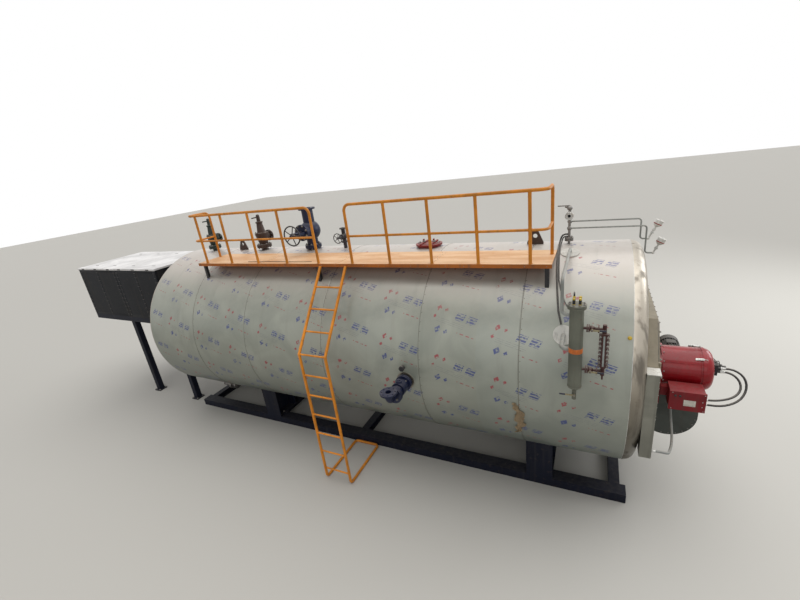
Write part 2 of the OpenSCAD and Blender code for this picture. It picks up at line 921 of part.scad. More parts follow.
module steam_valve() {
  top = 403;
  top_t = 28;
  color([0.06, 0.09, 0.20])
    difference() {
      translate([-steam_x, 0, steam_stem_z]) {
        globe_valve(steam_rise, steam_bore, steam_flange_d, 360, top, 32, 520);
        translate([0, 0, top - top_t])
          flange(steam_flange_d, top_t, steam_bore, steam_pcd, 8, 26);
      }
      shell_cut();
    }
}

// A wheel in the XZ plane: a round rim, five spokes that bend out to it, and a bored hub
module handwheel(d, hub_d, bore, t) {
  rotate([90, 0, 0]) {
    rotate_extrude($fn=48)
      translate([d / 2 - t / 2, 0])
        circle(d=t, $fn=pipe_fn);
    difference() {
      union() {
        translate([0, 0, -t])
          cylinder(h=t * 2, d=hub_d, $fn=pipe_fn);
        for (a = [0:72:288])
          rotate([0, 90, a])
            cylinder(h=d / 2 - t / 2, d=t * 0.7, $fn=pipe_fn);
      }
      translate([0, 0, -t - 1])
        cylinder(h=t * 2 + 2, d=bore, $fn=pipe_fn);
    }
  }
}

module steam_handwheel() {
  color([0.05, 0.05, 0.05])
    translate([-steam_x, -520, steam_stem_z])
      handwheel(steam_wheel_d, 60, 32.1, 24);
}

module vent_valve() {
  color([0.10, 0.14, 0.14])
    difference() {
      translate([-vent_x, 0, vent_stem_z]) {
        globe_valve(vent_rise, 50, 120, 116, 150, 18, 200);
        translate([0, 0, 128])
          flange(120, 22, 50, 90, 4, 12);
      }
      shell_cut();
    }
}

module vent_handwheel() {
  color([0.05, 0.05, 0.05])
    translate([-vent_x, -200, vent_stem_z])
      handwheel(180, 34, 18.1, 14);
}

module stadium(w, d) {
  for (x = [-1, 1])
    translate([x * (w - d) / 2, 0])
      circle(d=d);
  square([w - d, d], center=true);
}

// A short neck with a domed plate, two arches over it and a bolt through each
module manhole_cover() {
  w = 430;
  d = 330;
  color([0.35, 0.08, 0.08])
    difference() {
      translate([manhole_x, 0, shell_top_z]) {
        translate([0, 0, -40])
          linear_extrude(height=80)
            stadium(w - 60, d - 60);
        translate([0, 0, 26])
          linear_extrude(height=24)
            stadium(w, d);
        for (x = [-85, 85])
          translate([x - 14, -d / 2, 50])
            cube([28, d, 22]);
        for (x = [-85, 85])
          translate([x, 0, 60])
            cylinder(h=60, d=30, $fn=pipe_fn);
      }
      shell_cut();
    }
}

module lifting_lugs() {
  t = 24;
  foot = 110;
  h = 190;
  tip = 40;
  eye_z = 120;
  color([0.10, 0.11, 0.12])
    difference() {
      for (x = [-lug_rear_x, lug_front_x])
        translate([x, t / 2, shell_top_z])
          rotate([90, 0, 0])
            linear_extrude(height=t)
              difference() {
                polygon([[-foot, -20], [foot, -20], [foot, 30], [tip, h], [-tip, h], [-foot, 30]]);
                translate([0, eye_z])
                  circle(d=60);
              }
      shell_cut();
    }
}

// A standpipe with a stop valve, a lever cock on top and a round pressure gauge
module pressure_fittings() {
  color([0.25, 0.24, 0.20])
    difference() {
      translate([manifold_x, 0, shell_top_z]) {
        translate([0, 0, -20])
          cylinder(h=500, d=34, $fn=pipe_fn);
        translate([0, 0, 40])
          cylinder(h=22, d=110);
        translate([0, 0, 66])
          cylinder(h=22, d=110);
        for (p = sense_pipes)
          translate([0, p[0], p[1]])
            sphere(d=62);
        translate([0, -10, sense_pipes[1][1]])
          rotate([-90, 0, 0])
            cylinder(h=sense_pipes[1][0] + 10, d=34, $fn=pipe_fn);
        translate([0, 0, 480])
          sphere(d=70);
        tube([0, 0, 480], [-60, 0, 500], 26);
        translate([-150, -10, 505])
          cube([150, 20, 14]);
        tube([0, 0, 390], [0, -70, 390], 20);
        translate([0, -70, 390])
          rotate([90, 0, 0])
            cylinder(h=32, d=104);
      }
      shell_cut();
    }
}

// Two pipes from the standpipe to the front edge, where each turns up into its sensor
module sensing_pipes() {
  color([0.55, 0.56, 0.52])
    difference() {
      for (i = [0:1]) {
        z = shell_top_z + sense_pipes[i][1];
        foot = sensor_foot(i);
        pipe([[manifold_x, foot[1], z], [foot[0] - 90, foot[1], z], [foot[0] - 90, foot[1], foot[2]], foot],
          sense_d, 36);
      }
      for (i = [0:1])
        translate([manifold_x, sense_pipes[i][0], shell_top_z + sense_pipes[i][1]])
          sphere(d=62);
      for (i = [0:1])
        translate(sensor_foot(i))
          sphere(d=sensor_foot_d);
    }
}

// Where a sensing pipe ends: the upper one over the front edge, the lower one before it
function sensor_foot(i) = i == 1
  ? [shell_half + 40, sense_pipes[1][0], shell_top_z + 32]
  : [shell_half + 100, sense_pipes[0][0], shell_top_z - 140];

// A sensor leans outwards on a round foot: the upper has a longer neck
module pressure_sensors() {
  color([0.72, 0.71, 0.68])
    for (i = [0:1]) {
      neck = 120 + 50 * i;
      translate(sensor_foot(i)) {
        sphere(d=sensor_foot_d);
        rotate([0, sensor_lean, 0]) {
          cylinder(h=neck, d=22, $fn=pipe_fn);
          translate([0, 0, neck - 60])
            cylinder(h=24, d=40, $fn=6);
          translate([0, 0, neck - 2])
            cylinder(h=24, d1=44, d2=96);
          translate([0, 0, neck + 20])
            cylinder(h=62, d=96);
        }
      }
    }
}

module level_column() {
  head_d = column_d + 44;
  color([0.45, 0.47, 0.42])
    translate([column_x, -column_y, column_bottom_z]) {
      cylinder(h=column_length, d=column_d);
      translate([0, 0, column_length - 26])
        cylinder(h=18, d=head_d);
      translate([0, 0, column_length - 4])
        cylinder(h=20, d=head_d);
      for (a = [45:90:315])
        rotate([0, 0, a])
          translate([column_d * 0.3, 0, column_length])
            cylinder(h=60, d=26, $fn=pipe_fn);
      translate([0, 0, -40])
        cylinder(h=40, d1=50, d2=column_d);
      translate([0, 0, -160])
        cylinder(h=130, d=46, $fn=pipe_fn);
      tube([0, 0, -90], [0, -36, -90], 30);
      tube([0, -30, -90], [0, -56, -90], 12);
    }
}

// The points where the level pipes leave the cladding: the upper near the crown, the lower at the side
function level_tap(i) = i == 0
  ? [column_x - tap_back, -high_tap_y, shell_z(high_tap_y)]
  : [column_x - tap_back, -shell_y(low_tap_z), low_tap_z];

module level_pipes() {
  high = level_tap(0);
  low = level_tap(1);
  run_z = high[2] + 65;
  side_z = column_bottom_z + column_length - 105;
  color([0.55, 0.57, 0.53])
    difference() {
      union() {
        pipe([high - [0, 0, 20], [high[0], high[1], run_z], [high[0], -column_y, run_z],
          [high[0], -column_y, side_z], [column_x, -column_y, side_z]], 34, 52);
        pipe([low + [0, 40, 0], [low[0], -column_y, low[2]], [column_x, -column_y, low[2]]], 48, 60);
      }
      shell_cut();
      translate([column_x, -column_y, column_bottom_z])
        cylinder(h=column_length, d=column_d);
      for (i = [0:1])
        pipe_rosette(i);
    }
}

// A round cover plate on the cladding, square to its surface
module pipe_rosette(i) {
  tap = level_tap(i);
  lean = asin(-tap[1] / shell_r);
  difference() {
    translate([tap[0], 0, axis_z])
      rotate([lean, 0, 0])
        translate([0, 0, shell_r - 12])
          cylinder(h=22, d=rosette_d);
    shell_cut();
  }
}

module pipe_rosettes() {
  color([0.85, 0.85, 0.82])
    for (i = [0:1])
      pipe_rosette(i);
}

// A flat glass gauge: a slim body with a row of clamps, and a flanged cock at each end
module level_gauge() {
  clamps = 8;
  body_h = cock_high_z - cock_low_z - 90;
  pitch = (body_h - 30) / (clamps - 1);
  color([0.25, 0.08, 0.08])
    difference() {
      translate([gauge_x, -column_y, 0]) {
        translate([-24, -28, cock_low_z + 45])
          cube([48, 56, body_h]);
        for (i = [0:clamps - 1])
          translate([-46, -20, cock_low_z + 52 + i * pitch])
            cube([92, 40, 16]);
        for (z = [cock_low_z, cock_high_z]) {
          translate([0, 0, z - 50])
            cylinder(h=100, d=40, $fn=pipe_fn);
          tube([column_x - gauge_x, 0, z], [0, 0, z], 30);
          for (x = [column_x - gauge_x + column_d / 2 + 26, column_x - gauge_x + column_d / 2 + 44, -62])
            translate([x, 0, z])
              rotate([0, 90, 0])
                cylinder(h=14, d=84);
          translate([cock_x - gauge_x, 0, z])
            sphere(d=64);
          tube([cock_x - gauge_x, 0, z], [cock_x - gauge_x, -44, z], 24);
          tube([cock_x - gauge_x, -40, z], [cock_x - gauge_x, -66, z], 12);
        }
        tube([0, 0, cock_low_z - 40], [0, 0, cock_low_z - 100], 18);
      }
      translate([column_x, -column_y, column_bottom_z])
        cylinder(h=column_length, d=column_d);
    }
}

// A cock's lever with its eye round the stem, which points to -Y
module cock_lever(length) {
  difference() {
    union() {
      translate([0, 4, 0])
        rotate([90, 0, 0])
          cylinder(h=8, d=30, $fn=pipe_fn);
      translate([0, -4, -8])
        cube([length, 8, 16]);
    }
    rotate([90, 0, 0])
      cylinder(h=20, d=12.1, center=true, $fn=pipe_fn);
  }
}

module upper_cock_lever() {
  color([0.12, 0.12, 0.12])
    translate([cock_x, -column_y - 52, cock_high_z])
      cock_lever(130);
}

module lower_cock_lever() {
  color([0.12, 0.12, 0.12])
    translate([cock_x, -column_y - 52, cock_low_z])
      cock_lever(130);
}

module drain_lever() {
  color([0.10, 0.10, 0.12])
    translate([column_x, -column_y - 44, column_bottom_z - 90])
      rotate([0, 180, 0])
        cock_lever(150);
}

// A check valve and a stop valve in line, towards -Y, and an elbow up to the feed flange
module feed_valve() {
  y0 = shell_y(feed_z);
  neck_d = feed_bore + 30;
  flange_t = 24;
  bend = 62;
  front = feed_reach - bend - 52;
  color([0.10, 0.14, 0.33])
    difference() {
      translate([feed_x, -y0, feed_z]) {
        discs_y([[-60, front + 112, neck_d], [40, flange_t, feed_flange_d], [67, flange_t, feed_flange_d],
          [67 + flange_t, front - 51 - 67 - flange_t, neck_d + 40], [150, 110, feed_flange_d * 0.86],
          [front - 51, flange_t, feed_flange_d], [front - 24, flange_t, feed_flange_d]]);
        translate([0, -205, 0])
          cylinder(h=120, d=90);
        elbow([0, -feed_reach, 0], [0, -1, 0], [0, 0, 1], neck_d, bend);
        translate([0, -feed_reach, bend])
          difference() {
            cylinder(h=feed_rise - flange_t - bend, d=neck_d);
            translate([0, 0, 10])
              cylinder(h=100, d=feed_bore);
          }
        translate([0, -feed_reach, feed_rise - flange_t])
          flange(feed_flange_d, flange_t, feed_bore, feed_pcd, 8, 18);
      }
      shell_cut();
    }
}

// A dark ring round the feed nozzle, where the cladding is cut away
module feed_collar() {
  y0 = shell_y(feed_z);
  color([0.12, 0.15, 0.13])
    difference() {
      translate([feed_x, -y0, feed_z])
        discs_y([[-60, 72, 260]]);
      translate([feed_x, -y0, feed_z])
        discs_y([[-80, 160, feed_bore + 34]]);
      shell_cut();
    }
}

// A closed pocket with a hexagon, above the feed nozzle
module thermometer_pocket() {
  z = feed_z + 205;
  color([0.12, 0.10, 0.10])
    difference() {
      translate([feed_x - 20, -shell_y(z), z])
        rotate([90, 0, 0]) {
          translate([0, 0, -30])
            cylinder(h=60, d=60, $fn=pipe_fn);
          translate([0, 0, 30])
            cylinder(h=34, d=84, $fn=6);
        }
      shell_cut();
    }
}

// A point on the cladding's surface, a quarter of a turn being 90, with a cable of that diameter on it
function on_cladding(x, turn, d) =
  [x, -(shell_r + d / 2 + cable_lift) * sin(turn), axis_z + (shell_r + d / 2 + cable_lift) * cos(turn)];

// Two black cables come from the standpipe and lie side by side on the cladding: the thick one ends at the
// lower rosette, the thin one hangs over to the head of the level column
module level_cables() {
  thick = 22;
  thin = 16;
  e = column_d * 0.3 * cos(45);
  head = [column_x - e, -column_y + e, column_bottom_z + column_length + 60];
  low_turn = asin(-level_tap(1)[1] / shell_r);
  stop = low_turn - asin((rosette_d / 2 + 6) / shell_r);
  drift = 125;
  start = [manifold_x - 17, 0, shell_top_z + 130];
  start_2 = start - [0, 0, 30];
  color([0.05, 0.05, 0.05]) {
    sweep(concat(
      [start, start - [30, 0, 0], start + [-62, 0, -12], start + [-80, 0, -38], start + [-90, -6, -72]],
      [for (a = [2:4:stop - 2]) on_cladding(manifold_x - 118 + drift * pow(a / low_turn, 2), a, thick)],
      [on_cladding(manifold_x - 118 + drift, stop, thick)]), thick, 8, [1, 1, -1]);
    sweep(concat(
      [start_2, start_2 - [26, 0, 0], start_2 + [-48, 0, -8], start_2 + [-62, -2, -26], start_2 + [-70, -10, -56]],
      [for (a = [2:4:36]) on_cladding(manifold_x - 96 + drift * pow(a / low_turn, 2), a, thin)],
      [head + [-170, 625, -140], head + [-145, 550, -188], head + [-115, 460, -220], head + [-83, 360, -228],
        head + [-53, 260, -205], head + [-27, 165, -160], head + [-10, 95, -90], head + [-2, 66, -20],
        head + [0, 52, 34], head + [0, 30, 62], head + [0, 8, 56], head + [0, 0, 28], head]),
      thin, 8, [1, 1, -1]);
  }
}

module blowdown_valve() {
  y = 450;
  color([0.08, 0.10, 0.12])
    difference() {
      translate([-3950, -y, 340]) {
        cylinder(h=2 * axis_z - shell_z(y) - 320, d=70, $fn=pipe_fn);
        tube([-60, 0, 0], [360, 0, 0], 80);
        tube([160, 0, 0], [220, 0, 0], 170);
        tube([320, 0, 0], [350, 0, 0], 150);
      }
      shell_cut();
    }
}

base_rails();
cross_members();
saddles();
shell_band(0);  // shell_band_1
shell_band(1);  // shell_band_2
shell_band(2);  // shell_band_3
shell_band(3);  // shell_band_4
shell_band(4);  // shell_band_5
shell_band(5);  // shell_band_6
rear_end();
front_end();
smoke_box();
cable_trunking();
burner_mount();
burner_housing();
control_box();
fan_housing();
burner_motor();
gas_valve();
nozzle_block();
burner_hose_1();
burner_hose_2();
control_conduit();
economiser_unit_1();
economiser_unit_2();
economiser_lids();
economiser_stand();
flue_link();
deck_plate();
deck_posts();
guard_posts();
guard_rails();
ladder_rails();
ladder_rungs();
safety_valve_1();
safety_valve_2();
steam_valve();
steam_handwheel();
vent_valve();
vent_handwheel();
manhole_cover();
lifting_lugs();
pressure_fittings();
sensing_pipes();
pressure_sensors();
level_column();
level_pipes();
pipe_rosettes();
level_gauge();
level_cables();
feed_collar();
thermometer_pocket();
upper_cock_lever();
lower_cock_lever();
drain_lever();
feed_valve();
blowdown_valve();
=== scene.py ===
from math import asin, copysign, cos, pi, radians, sin, sqrt, tau
from random import Random

import bmesh
import bpy
from mathutils import Matrix, Vector


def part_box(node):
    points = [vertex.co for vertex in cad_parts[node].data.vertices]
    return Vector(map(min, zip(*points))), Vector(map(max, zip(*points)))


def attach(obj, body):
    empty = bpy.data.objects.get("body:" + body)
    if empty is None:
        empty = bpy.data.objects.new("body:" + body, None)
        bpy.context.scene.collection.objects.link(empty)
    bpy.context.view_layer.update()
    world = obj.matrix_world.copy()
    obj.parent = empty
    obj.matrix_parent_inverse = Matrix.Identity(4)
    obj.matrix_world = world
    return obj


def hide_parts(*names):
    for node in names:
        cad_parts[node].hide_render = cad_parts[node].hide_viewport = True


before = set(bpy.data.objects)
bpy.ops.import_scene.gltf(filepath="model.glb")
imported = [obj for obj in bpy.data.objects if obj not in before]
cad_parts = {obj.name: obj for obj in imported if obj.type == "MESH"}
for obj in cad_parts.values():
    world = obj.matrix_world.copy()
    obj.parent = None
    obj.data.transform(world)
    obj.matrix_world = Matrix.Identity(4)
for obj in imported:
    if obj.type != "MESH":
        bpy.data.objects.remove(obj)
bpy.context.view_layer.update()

# The camera stands on a gallery beside the boiler, a little to the burner's side of its middle, and looks
# down along the shell.
camera_place = Vector((3.73, -5.720, 4.807))
to_view = Matrix(((0.8998, 0.4191, -0.1210), (0.0466, -0.3683, -0.9286), (-0.4337, 0.8299, -0.3508)))
tilt_fix = Vector((-0.0147, 0.0064, 0.0032))
to_view = Matrix.Rotation(tilt_fix.length, 3, tilt_fix.normalized()) @ to_view
right, down, ahead = to_view.row
camera = bpy.data.objects.new("camera", bpy.data.cameras.new("camera"))
bpy.context.scene.collection.objects.link(camera)
camera.data.lens = 17.56
camera.data.sensor_width = 36.0
camera.data.clip_end = 200.0
camera.matrix_world = Matrix.Translation(camera_place) @ Matrix((right, -down, -ahead)).transposed().to_4x4()
bpy.context.scene.camera = camera


# A plain pale floor under soft lamps, as in a studio, with a white surrounding that shows in reflections and
# through glass too.
def studio_lamp(name, place, aim, size, watts, color):
    lamp = bpy.data.lights.new(name, "AREA")
    lamp.shape = "RECTANGLE"
    lamp.size, lamp.size_y = size
    lamp.energy = watts
    lamp.color = color
    thing = bpy.data.objects.new(name, lamp)
    thing.location = place
    thing.rotation_euler = (Vector(aim) - Vector(place)).to_track_quat("-Z", "Y").to_euler()
    bpy.context.scene.collection.objects.link(thing)


studio_lamp("window_lamp", (12, 7, 7), (1, 0, 2), (7, 5), 520, (0.95, 0.98, 1.0))
studio_lamp("gallery_lamp", (3, -12, 8), (0, 0, 1.5), (10, 5), 170, (1.0, 0.98, 0.95))
roof_light = bpy.data.objects.new("roof_light", bpy.data.lights.new("roof_light", "SUN"))
roof_light.data.energy = 2.2
roof_light.data.angle = radians(75)
roof_light.rotation_euler = (radians(-8), radians(6), 0)
bpy.context.scene.collection.objects.link(roof_light)


class Net:
    """Short ways to make and link the nodes of one tree."""

    def __init__(self, tree, family="ShaderNode"):
        self.tree = tree
        self.family = family

    def fill(self, inputs, values):
        """Links or sets inputs, by name or number."""
        for key, value in values.items():
            if isinstance(value, bpy.types.NodeSocket):
                self.tree.links.new(value, inputs[key])
            else:
                inputs[key].default_value = value

    def node(self, kind, values={}, **settings):
        """One node with its settings and its inputs."""
        made = self.tree.nodes.new(self.family + kind)
        for key, value in settings.items():
            setattr(made, key, value)
        self.fill(made.inputs, values)
        return made

    def math(self, operation, a, b=0.0, **settings):
        return self.node("Math", {0: a, 1: b}, operation=operation, **settings).outputs[0]

    def times(self, a, b):
        return self.math("MULTIPLY", a, b)

    def away(self, a, b):
        """How far a is from b, either way."""
        return self.math("ABSOLUTE", self.math("SUBTRACT", a, b))

    def mix(self, factor, a, b):
        return self.node("Mix", {0: factor, 6: a, 7: b}, data_type="RGBA").outputs[2]

    def between(self, factor, a, b):
        return self.node("Mix", {0: factor, 2: a, 3: b}, data_type="FLOAT").outputs[0]

    def ramp(self, value, low, high, to_low=0.0, to_high=1.0):
        values = {0: value, 1: low, 2: high, 3: to_low, 4: to_high}
        return self.node("MapRange", values, interpolation_type="SMOOTHSTEP").outputs[0]

    def noise(self, place, scale, detail, distortion=0.0):
        values = {"Vector": place, "Scale": scale, "Detail": detail, "Distortion": distortion}
        return self.node("TexNoise", values).outputs[0]

    def bump(self, height, strength, distance, values={}):
        values = {"Height": height, "Strength": strength, "Distance": distance, **values}
        return self.node("Bump", values).outputs[0]

    def place(self):
        return self.node("TexCoord").outputs["Object"]

    def split(self, vector):
        return self.node("SeparateXYZ", {0: vector}).outputs

    def stretch(self, place, scale, turn=(0, 0, 0)):
        return self.node("Mapping", {0: place, 2: turn, 3: scale}).outputs[0]


world = bpy.data.worlds.new("studio")
bpy.context.scene.world = world
world.use_nodes = True
sky = Net(world.node_tree)
surrounding = sky.tree.nodes["Background"]
sky.fill(surrounding.inputs, {"Color": (0.88, 0.91, 0.94, 1), "Strength": 0.34})
white = sky.node("Background", {"Color": (1, 1, 1, 1)})
seen = sky.node("LightPath").outputs
glossy_or_camera = sky.math("ADD", seen["Is Camera Ray"], seen["Is Glossy Ray"])
any_view = sky.math("ADD", glossy_or_camera, seen["Is Transmission Ray"], use_clamp=True)
choice = sky.node("MixShader", {0: any_view, 1: surrounding.outputs[0], 2: white.outputs[0]})
sky.fill(sky.tree.nodes["World Output"].inputs, {0: choice.outputs[0]})
bpy.context.scene.view_settings.view_transform = "Standard"


def new_material(name):
    """A material, the net of its nodes, and the inputs of its shader."""
    material = bpy.data.materials.new(name)
    material.use_nodes = True
    return material, Net(material.node_tree), material.node_tree.nodes["Principled BSDF"].inputs


FLOOR_HALF = 70
floor_mesh = bpy.data.meshes.new("floor")
floor_corners = [(x * FLOOR_HALF, y * FLOOR_HALF, 0) for x, y in ((-1, -1), (1, -1), (1, 1), (-1, 1))]
floor_mesh.from_pydata(floor_corners, [], [(0, 1, 2, 3)])
floor = bpy.data.objects.new("floor", floor_mesh)
bpy.context.scene.collection.objects.link(floor)
floor_paint, floor_net, floor_shader = new_material("floor")
floor_net.fill(floor_shader, {"Base Color": (0.50, 0.48, 0.44, 1), "Roughness": 0.85})
floor_mesh.materials.append(floor_paint)

# The burner's oil hoses and the conduit of its control box are flexible and hang between two fittings.
# Black rubber hoses have crimped ferrules at their ends, and the conduit is a grey corrugated sleeve.
MM = 0.001
BODY = "boiler"
HOSE_ROUTE_1 = [
    (5260, -85, 1793), (5300, -85, 1793), (5345, -88, 1795), (5390, -95, 1790), (5430, -106, 1775),
    (5465, -120, 1752), (5492, -137, 1722), (5510, -156, 1686), (5518, -178, 1645), (5516, -202, 1603),
    (5504, -228, 1562), (5484, -256, 1526), (5456, -286, 1496), (5420, -316, 1474), (5378, -346, 1459),
    (5332, -374, 1449), (5284, -398, 1443), (5234, -416, 1440), (5184, -427, 1440), (5134, -430, 1440),
    (5090, -430, 1440), (5045, -430, 1440)]
HOSE_ROUTE_2 = [
    (5260, -85, 1745), (5300, -85, 1745), (5340, -90, 1742), (5378, -101, 1732), (5411, -117, 1714),
    (5437, -137, 1690), (5454, -161, 1661), (5461, -188, 1630), (5457, -217, 1601), (5443, -247, 1575),
    (5420, -277, 1554), (5389, -307, 1538), (5352, -335, 1527), (5310, -361, 1519), (5265, -384, 1514),
    (5217, -404, 1511), (5168, -419, 1510), (5120, -428, 1510), (5080, -430, 1510), (5045, -430, 1510)]
CONDUIT_ROUTE = [
    (4725, -440, 1410), (4725, -440, 1370), (4725, -441, 1325), (4727, -446, 1275), (4731, -460, 1225),
    (4736, -483, 1176), (4740, -515, 1130), (4742, -553, 1087), (4742, -600, 1049), (4738, -655, 1019),
    (4730, -715, 1001), (4718, -777, 995), (4703, -840, 1000), (4687, -902, 1015), (4671, -962, 1038),
    (4655, -1019, 1068), (4640, -1073, 1103), (4624, -1122, 1139), (4606, -1165, 1172),
    (4583, -1202, 1202), (4554, -1232, 1227), (4520, -1254, 1245), (4484, -1268, 1256),
    (4453, -1275, 1260), (4425, -1275, 1260)]


def in_metres(points):
    return [Vector(p) * MM for p in points]


def shader_group(name, inputs, outputs):
    """An empty shader group: its net, and the sockets that come in and go out."""
    tree = bpy.data.node_groups.new(name, "ShaderNodeTree")
    for label, value in inputs.items():
        socket = tree.interface.new_socket(name=label, in_out="INPUT", socket_type="NodeSocketFloat")
        socket.default_value = value
    for label in outputs:
        tree.interface.new_socket(name=label, in_out="OUTPUT", socket_type="NodeSocketFloat")
    return Net(tree), tree.nodes.new("NodeGroupInput").outputs, tree.nodes.new("NodeGroupOutput").inputs


def make_wear_group():
    """Masks that every finish shares: cloudy tone, fine grain, chips, runs of dirt and settled dust."""
    net, given, wanted = shader_group("wear", {"Size": 1.0}, ("Cloud", "Grain", "Chips", "Runs", "Dust"))
    place = net.place()
    stretched = net.stretch(place, (9.0, 9.0, 0.5))

    def noise(where, scale, detail, distortion=0.0):
        return net.noise(where, net.times(given["Size"], scale), detail, distortion)

    patches = noise(place, 14.0, 6.0, 0.3)
    upward = net.split(net.node("NewGeometry").outputs["Normal"])[2]
    net.fill(wanted, {
        "Cloud": net.ramp(noise(place, 1.7, 5.0, 0.6), 0.3, 0.7),
        "Grain": noise(place, 55.0, 3.0),
        "Chips": net.ramp(patches, 0.62, 0.68),
        "Runs": net.ramp(noise(stretched, 1.3, 4.0), 0.5, 0.72),
        "Dust": net.times(net.ramp(upward, 0.25, 0.95), net.ramp(patches, 0.25, 0.7, 0.35, 1.0))})
    return net.tree


wear_group = make_wear_group()
DUST = (0.46, 0.41, 0.34, 1.0)
GRIME = (0.07, 0.06, 0.05, 1.0)


def shade(color, factor):
    return tuple(min(1.0, c * factor) for c in color[:3]) + (1.0,)


def finish(name, color, under=(0.16, 0.10, 0.07), rough=0.4, dust=0.5, chips=0.4, runs=0.3, metal=0.0,
           size=1.0, bump=0.2, coat=0.0, gloss=0.3):
    """A surface of uneven tone, chipped down to what is under it, with dirt in runs and dust on top."""
    material, net, shader = new_material(name)
    wear = net.node("Group", {"Size": size}, node_tree=wear_group).outputs
    chipped = net.times(wear["Chips"], chips)
    dirty = net.times(wear["Runs"], runs)
    dusty = net.times(wear["Dust"], dust)
    tone = net.mix(wear["Cloud"], shade(color, 0.8), shade(color, 1.15))
    for cover, over in ((chipped, (*under, 1.0)), (dirty, GRIME), (dusty, DUST)):
        tone = net.mix(cover, tone, over)
    fleck = net.between(wear["Grain"], rough * 0.8, min(1.0, rough * 1.25))
    roughness = net.between(net.math("MAXIMUM", dusty, dirty), fleck, 0.85)
    height = net.math("ADD", net.times(wear["Grain"], 0.5), chipped)
    if metal:
        net.fill(shader, {"Metallic": net.times(net.math("SUBTRACT", 1.0, dusty), metal)})
    net.fill(shader, {
        "Base Color": tone, "Roughness": roughness, "Normal": net.bump(height, bump, 0.002),
        "Specular IOR Level": gloss, "Coat Weight": coat, "Coat Roughness": 0.12})
    return material


rubber = finish(
    "hose_rubber", (0.025, 0.025, 0.027), (0.08, 0.08, 0.08), rough=0.5, dust=0.35, size=6.0, bump=0.3)
sleeve = finish("conduit_sleeve", (0.24, 0.25, 0.24), (0.1, 0.1, 0.1), rough=0.55, dust=0.5, size=4.0)
zinc = finish(
    "zinc_fitting", (0.52, 0.52, 0.50), (0.3, 0.28, 0.24), rough=0.32, dust=0.3, metal=0.9, size=5.0)


def put(name, data, material, slot, body=BODY):
    """Makes a piece's object, gives it its surface and lets it ride on its body."""
    thing = bpy.data.objects.new(name, data)
    bpy.context.scene.collection.objects.link(thing)
    thing.data.materials.clear()
    thing.data.materials.append(material)
    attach(thing, body)
    return thing


def cord_piece(name, route, diameter, material, slot, node):
    """A smooth round cord along its route, which stands for its plain solid."""
    line = bpy.data.curves.new(name, "CURVE")
    line.dimensions = "3D"
    line.bevel_depth = diameter / 2
    line.bevel_resolution = 5
    line.use_fill_caps = True
    spline = line.splines.new("POLY")
    spline.points.add(len(route) - 1)
    for point, place in zip(spline.points, route):
        point.co = (*place, 1.0)
    thing = put(name, line, material, slot)
    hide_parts(node)


CORDS = (
    ("oil_hose_upper", HOSE_ROUTE_1, 0.026, rubber, "black_rubber", "burner_hose_1"),
    ("oil_hose_lower", HOSE_ROUTE_2, 0.026, rubber, "black_rubber", "burner_hose_2"),
    ("box_conduit", CONDUIT_ROUTE, 0.030, sleeve, "grey_conduit", "control_conduit"))
for name, route, *others in CORDS:
    cord_piece(name, in_metres(route), *others)
UP, DOWN = (0, 0, 1), (0, 0, -1)
FORE, REAR = (1, 0, 0), (-1, 0, 0)
NEAR, FAR = (0, -1, 0), (0, 1, 0)


def square_to(axis, at):
    """The transform that puts a shape made along +Z at a place, along an axis."""
    turn = Vector(axis).normalized().to_track_quat("Z", "Y").to_matrix().to_4x4()
    return Matrix.Translation(Vector(at)) @ turn


def circle(count, radius, first=0.0):
    """Even points round a circle, as (x, y)."""
    turns = [tau * (k + first) / count for k in range(count)]
    return [(radius * cos(turn), radius * sin(turn)) for turn in turns]


def add_lathe(bm, rows, at=(0, 0, 0), axis=UP, sides=24):
    """A turned shape: rows of (radius, height) swept round the axis; a radius of 0 is one point."""
    matrix = square_to(axis, at)
    rings = []
    for radius, height in rows:
        points = circle(sides, radius)[:sides if radius > 1e-6 else 1]
        rings.append([bm.verts.new(matrix @ Vector((x, y, height))) for x, y in points])
    for a, b in zip(rings, rings[1:]):
        for k in range(sides):
            n = (k + 1) % sides
            corners = [a[k % len(a)], a[n % len(a)], b[n % len(b)], b[k % len(b)]]
            unique = list(dict.fromkeys(corners))
            if len(unique) > 2:
                bm.faces.new(unique)
    for ring in (rings[0], rings[-1]):
        if len(ring) > 2 and rows[0] != rows[-1]:
            bm.faces.new(ring)


def made_mesh(name, build, smooth=35):
    """A mesh that a function fills; round faces are smoothed and sharp edges kept."""
    bm = bmesh.new()
    build(bm)
    bmesh.ops.recalc_face_normals(bm, faces=bm.faces)
    mesh = bpy.data.meshes.new(name)
    bm.to_mesh(mesh)
    bm.free()
    mesh.shade_smooth()
    mesh.set_sharp_from_angle(angle=radians(smooth))
    return mesh


def piece(material, slot, body=BODY, name=None, smooth=38):
    """Makes a piece of what the function under it builds, named after that function or by a given name."""
    def make(build):
        title = name or build.__name__
        return put(title, made_mesh(title, build, smooth), material, slot, body)
    return make


@piece(zinc, "bright_fitting")
def hose_ferrules(bm):
    """A ferrule and a hexagon at each end of the hoses, and a gland at each end of the conduit."""
    for _, route, diameter, *_ in CORDS:
        radius = diameter / 2
        points = in_metres(route)
        for a, b in ((points[0], points[1]), (points[-1], points[-2])):
            way = (b - a).normalized()
            gland = ((0.001, 0), (0.008, 0.001), (0.008, 0.014), (0.001, 0.015))
            add_lathe(bm, [(radius + out, z) for out, z in gland], a, way, 6)
            rows = [(radius + 0.0008, 0.014), (radius + 0.004, 0.016)]
            rows += [(radius + (0.004 if k % 2 else 0.0028), 0.018 + 0.004 * k) for k in range(8)]
            add_lathe(bm, rows + [(radius + 0.0008, 0.052)], a, way, 18)


